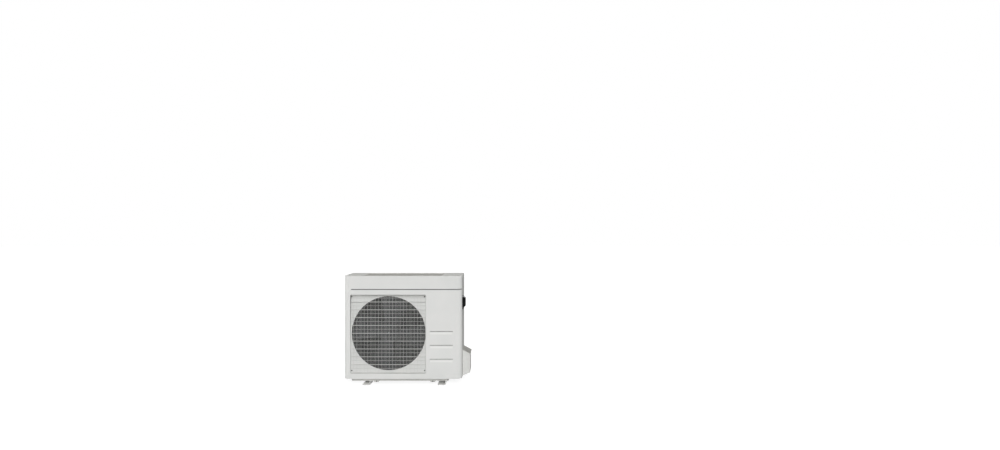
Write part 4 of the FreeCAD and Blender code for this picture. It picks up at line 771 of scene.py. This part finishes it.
# Coil guards at the back and on the left. Level bars lie outside, and uprights lie behind them.
level_bars, radius = 13, 0.0013
for node, along, bays in (
    ("rear_coil_guard", Vector((1, 0, 0)), 20),
    ("side_coil_guard", Vector((0, 1, 0)), 7),
):
    low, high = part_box(node)
    size = high - low
    reach = size.dot(along)
    at_back = bool(along.x)
    outer = high.y - radius if at_back else low.x + radius
    inner = outer - radius * 2 if at_back else outer + radius * 2
    for name, level, step, run, number in (
        ("bars", outer, Vector((0, 0, (size.z - radius * 2) / (level_bars - 1))),
         along * reach, level_bars),
        ("uprights", inner, along * (reach - radius * 2) / bays,
         Vector((0, 0, size.z)), bays + 1),
    ):
        first = Vector((low.x, level, low.z)) if at_back else Vector((level, low.y, low.z))
        first += Vector((0, 0, radius)) if name == "bars" else along * radius
        made = grown(f"{node}_{name}", rods, coated_wire, "casing", [node], first=first[:],
                     step=step[:], run=run[:], number=number, radius=radius)
        if name == "bars":
            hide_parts(node)


# Handle and connection cover. The handle is black polyamide, the cover light ASA, both moulded;
# the cover is screwed over the water unions and is open below.
softened("handle", "right_handle", black_polyamide, edge=0, rounds=[(0.0016, lambda spot: True)])
# ASA is a dull light grey that sun doesn't yellow. Its sloped roof, which faces up, is drawn
# darker: painted shade.
light_asa = moulded("light_moulded_asa", "#d6d6d3", "#d0d0cd", 0.48, 1, 0.03, shine=0.0)
tree = light_asa.node_tree
normal = add(tree, "ShaderNodeTexCoord").outputs["Normal"]
upward = add(tree, "ShaderNodeSeparateXYZ", {"Vector": normal}).outputs["Z"]
shaded_roof = add(tree, "ShaderNodeMapRange", {
    "Value": upward, "From Min": 0.3, "From Max": 0.7,
}).outputs[0]
painted_film(light_asa, shaded_roof, "#6e6b63", 0.62, 60)
softened("hood", "connection_cover", light_asa, edge=0, rounds=[(0.0009, lambda spot: True)])
softened("glands", "cable_glands", black_polyamide, edge=0.0005)


# Screws. Cold-headed steel with a domed head and a cross recess, driven to all angles: black
# zinc plate at the front, bright zinc plate elsewhere.
def screw_tree(finish):
    """A screw on each point, its head towards the point's own direction."""
    tree, given = new_tree("cross_recess_screws", radius=0.0046, thick=0.0022, shank=0.002,
                           length=0.01, cross=0.0056, slot=0.0011)
    size = add(tree, "ShaderNodeCombineXYZ", {
        "X": given["radius"], "Y": given["radius"], "Z": given["thick"],
    })
    ball = add(tree, "GeometryNodeMeshUVSphere", {"Segments": 24, "Rings": 12, "Radius": 1.0})
    dome = add(tree, "GeometryNodeTransform", {
        "Geometry": ball.outputs["Mesh"], "Scale": size.outputs["Vector"],
    })
    deep, wide, under, raised, drop = [
        add(tree, "ShaderNodeMath", {0: given[label], 1: times}, operation="MULTIPLY").outputs[0]
        for label, times in (("thick", 2.0), ("radius", 3.0), ("thick", -1.0), ("thick", 1.5),
                             ("length", -0.5))
    ]
    cutters = []
    for x, y, level in (
        (wide, wide, under),
        (given["cross"], given["slot"], raised),
        (given["slot"], given["cross"], raised),
    ):
        block = add(tree, "ShaderNodeCombineXYZ", {"X": x, "Y": y, "Z": deep}).outputs["Vector"]
        cube = add(tree, "GeometryNodeMeshCube", {"Size": block}).outputs["Mesh"]
        lift = add(tree, "ShaderNodeCombineXYZ", {"Z": level}).outputs["Vector"]
        moved = add(tree, "GeometryNodeTransform", {"Geometry": cube, "Translation": lift})
        cutters.append(moved.outputs["Geometry"])
    head = add(tree, "GeometryNodeMeshBoolean", {
        "Mesh 1": dome.outputs["Geometry"],
    }, operation="DIFFERENCE", solver="EXACT")
    for cutter in cutters:
        tree.links.new(cutter, head.inputs["Mesh 2"])
    rod = add(tree, "GeometryNodeMeshCylinder", {
        "Vertices": 12, "Radius": given["shank"], "Depth": given["length"],
    }).outputs["Mesh"]
    fall = add(tree, "ShaderNodeCombineXYZ", {"Z": drop}).outputs["Vector"]
    low_rod = add(tree, "GeometryNodeTransform", {"Geometry": rod, "Translation": fall})
    whole = add(tree, "GeometryNodeJoinGeometry", {"Geometry": head.outputs["Mesh"]})
    tree.links.new(low_rod.outputs["Geometry"], whole.inputs["Geometry"])
    facing = add(tree, "GeometryNodeInputNamedAttribute", {
        "Name": "facing",
    }, data_type="FLOAT_VECTOR")
    upright = add(tree, "FunctionNodeAlignRotationToVector", {
        "Vector": facing.outputs["Attribute"],
    }, axis="Z")
    angle = add(tree, "FunctionNodeRandomValue", {"Seed": 5}, data_type="FLOAT")
    turn = add(tree, "ShaderNodeMath", {
        0: angle.outputs[1], 1: math.tau,
    }, operation="MULTIPLY").outputs[0]
    twist = add(tree, "FunctionNodeAxisAngleToRotation", {"Axis": (0, 0, 1), "Angle": turn})
    driven = add(tree, "FunctionNodeRotateRotation", {
        "Rotation": upright.outputs["Rotation"], "Rotate By": twist.outputs["Rotation"],
    }, rotation_space="LOCAL")
    screws = add(tree, "GeometryNodeInstanceOnPoints", {
        "Points": given["Base"], "Instance": whole.outputs["Geometry"],
        "Rotation": driven.outputs["Rotation"],
    })
    return end_tree(tree, screws.outputs["Instances"], finish)


def screw_spots(node):
    """A point under each head of a node of screws, with the way that the head looks."""
    past_the_shank = 0.004
    mesh = merged_copy(node)
    waiting = set(mesh.verts)
    spots, ways = [], []
    for start in mesh.verts:
        if start not in waiting:
            continue
        waiting.remove(start)
        group, reached = [], [start]
        while reached:
            vert = reached.pop()
            group.append(vert.co)
            for link in vert.link_edges:
                other = link.other_vert(vert)
                if other in waiting:
                    waiting.remove(other)
                    reached.append(other)
        lows = [min(spot[n] for spot in group) for n in range(3)]
        highs = [max(spot[n] for spot in group) for n in range(3)]
        along = max(range(3), key=lambda n: highs[n] - lows[n])
        middle = Vector([(a + b) / 2 for a, b in zip(lows, highs)])
        across = [n for n in range(3) if n != along]
        rim = [spot[along] for spot in group
               if math.hypot(*[spot[n] - middle[n] for n in across]) > past_the_shank]
        way = Vector([0, 0, 0])
        way[along] = 1 if sum(rim) / len(rim) > middle[along] else -1
        middle[along] = min(rim) if way[along] > 0 else max(rim)
        spots.append(middle)
        ways.extend(way)
    mesh.free()
    data = bpy.data.meshes.new(f"{node}_spots")
    data.from_pydata(spots, [], [])
    data.attributes.new("facing", "FLOAT_VECTOR", "POINT").data.foreach_set("vector", ways)
    return data


# Black zinc plate is a dark, slightly cloudy metal.
black_zinc = bare_metal("black_zinc_plate", "#1f2022", "#2a2b2d", 3, 0.4)
for name, node, finish in (
    ("dark_screws", "front_screws", black_zinc),
    ("bright_screws", "casing_screws", bright_zinc),
):
    screws = grown(name, screw_tree(finish), finish, "casing", [node], screw_spots(node))
    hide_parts(node)


# Stage: a white floor that keeps the shadow, a white surround, and plain soft lights from the
# front and above, from both sides and from behind.
def seen_directly(tree):
    """One where a ray comes from the camera, a reflection or glass."""
    path = add(tree, "ShaderNodeLightPath")
    first = add(tree, "ShaderNodeMath", {
        0: path.outputs["Is Camera Ray"], 1: path.outputs["Is Glossy Ray"],
    }, operation="MAXIMUM")
    return add(tree, "ShaderNodeMath", {
        0: first.outputs[0], 1: path.outputs["Is Transmission Ray"],
    }, operation="MAXIMUM").outputs[0]


scene = bpy.context.scene
ambient, floor_grey, floor_glow = 0.17, 0.28, 0.87
world = bpy.data.worlds.new("surround")
world.use_nodes = True
scene.world = world
sky = world.node_tree
backdrop = sky.nodes["Background"]
backdrop.inputs["Color"].default_value = grey(1)
power = add(sky, "ShaderNodeMapRange", {
    "Value": seen_directly(sky), "To Min": ambient, "To Max": 1.0,
})
sky.links.new(power.outputs["Result"], backdrop.inputs["Strength"])

# The floor is a matt grey under the lamps and glows only where it is seen, so it looks white
# but throws little light up at the machine.
floor_finish, tree, shader = new_finish("white_floor", Roughness=0.9, Specular_IOR_Level=0.0)
shader.inputs["Base Color"].default_value = grey(floor_grey)
shader.inputs["Emission Color"].default_value = grey(1)
glow = add(tree, "ShaderNodeMath", {0: seen_directly(tree), 1: floor_glow}, operation="MULTIPLY")
tree.links.new(glow.outputs[0], shader.inputs["Emission Strength"])
half, floor_level = 30, -0.0006
data = bpy.data.meshes.new("floor")
data.from_pydata([(-half, -half, 0), (half, -half, 0), (half, half, 0), (-half, half, 0)],
                 [], [(0, 1, 2, 3)])
data.materials.append(floor_finish)
floor = bpy.data.objects.new("floor", data)
floor.location.z = floor_level
scene.collection.objects.link(floor)

for name, strength, spread, towards in (
    ("front_light", 2.5, 24, (0.16, -0.90, 0.37)),
    ("left_light", 1.7, 40, (-0.97, -0.08, 0.18)),
    ("right_light", 0.7, 40, (0.97, -0.08, 0.18)),
    ("rear_light", 1.5, 40, (0, 0.97, 0.25)),
):
    lamp = bpy.data.lights.new(name, "SUN")
    lamp.energy = strength
    lamp.angle = math.radians(spread)
    light = bpy.data.objects.new(name, lamp)
    light.rotation_euler = Vector(towards).to_track_quat("Z", "Y").to_euler()
    scene.collection.objects.link(light)

# The camera stands level, 5 m in front of the machine and 1.23 m above the floor.
scene.view_settings.view_transform = "Standard"
lens = bpy.data.cameras.new("camera")
lens.lens = 23.4
lens.sensor_width = 36
camera = bpy.data.objects.new("camera", lens)
camera.location = (0.740, -5.163, 1.231)
camera.rotation_euler = (math.radians(90), 0, 0)
scene.collection.objects.link(camera)
scene.camera = camera
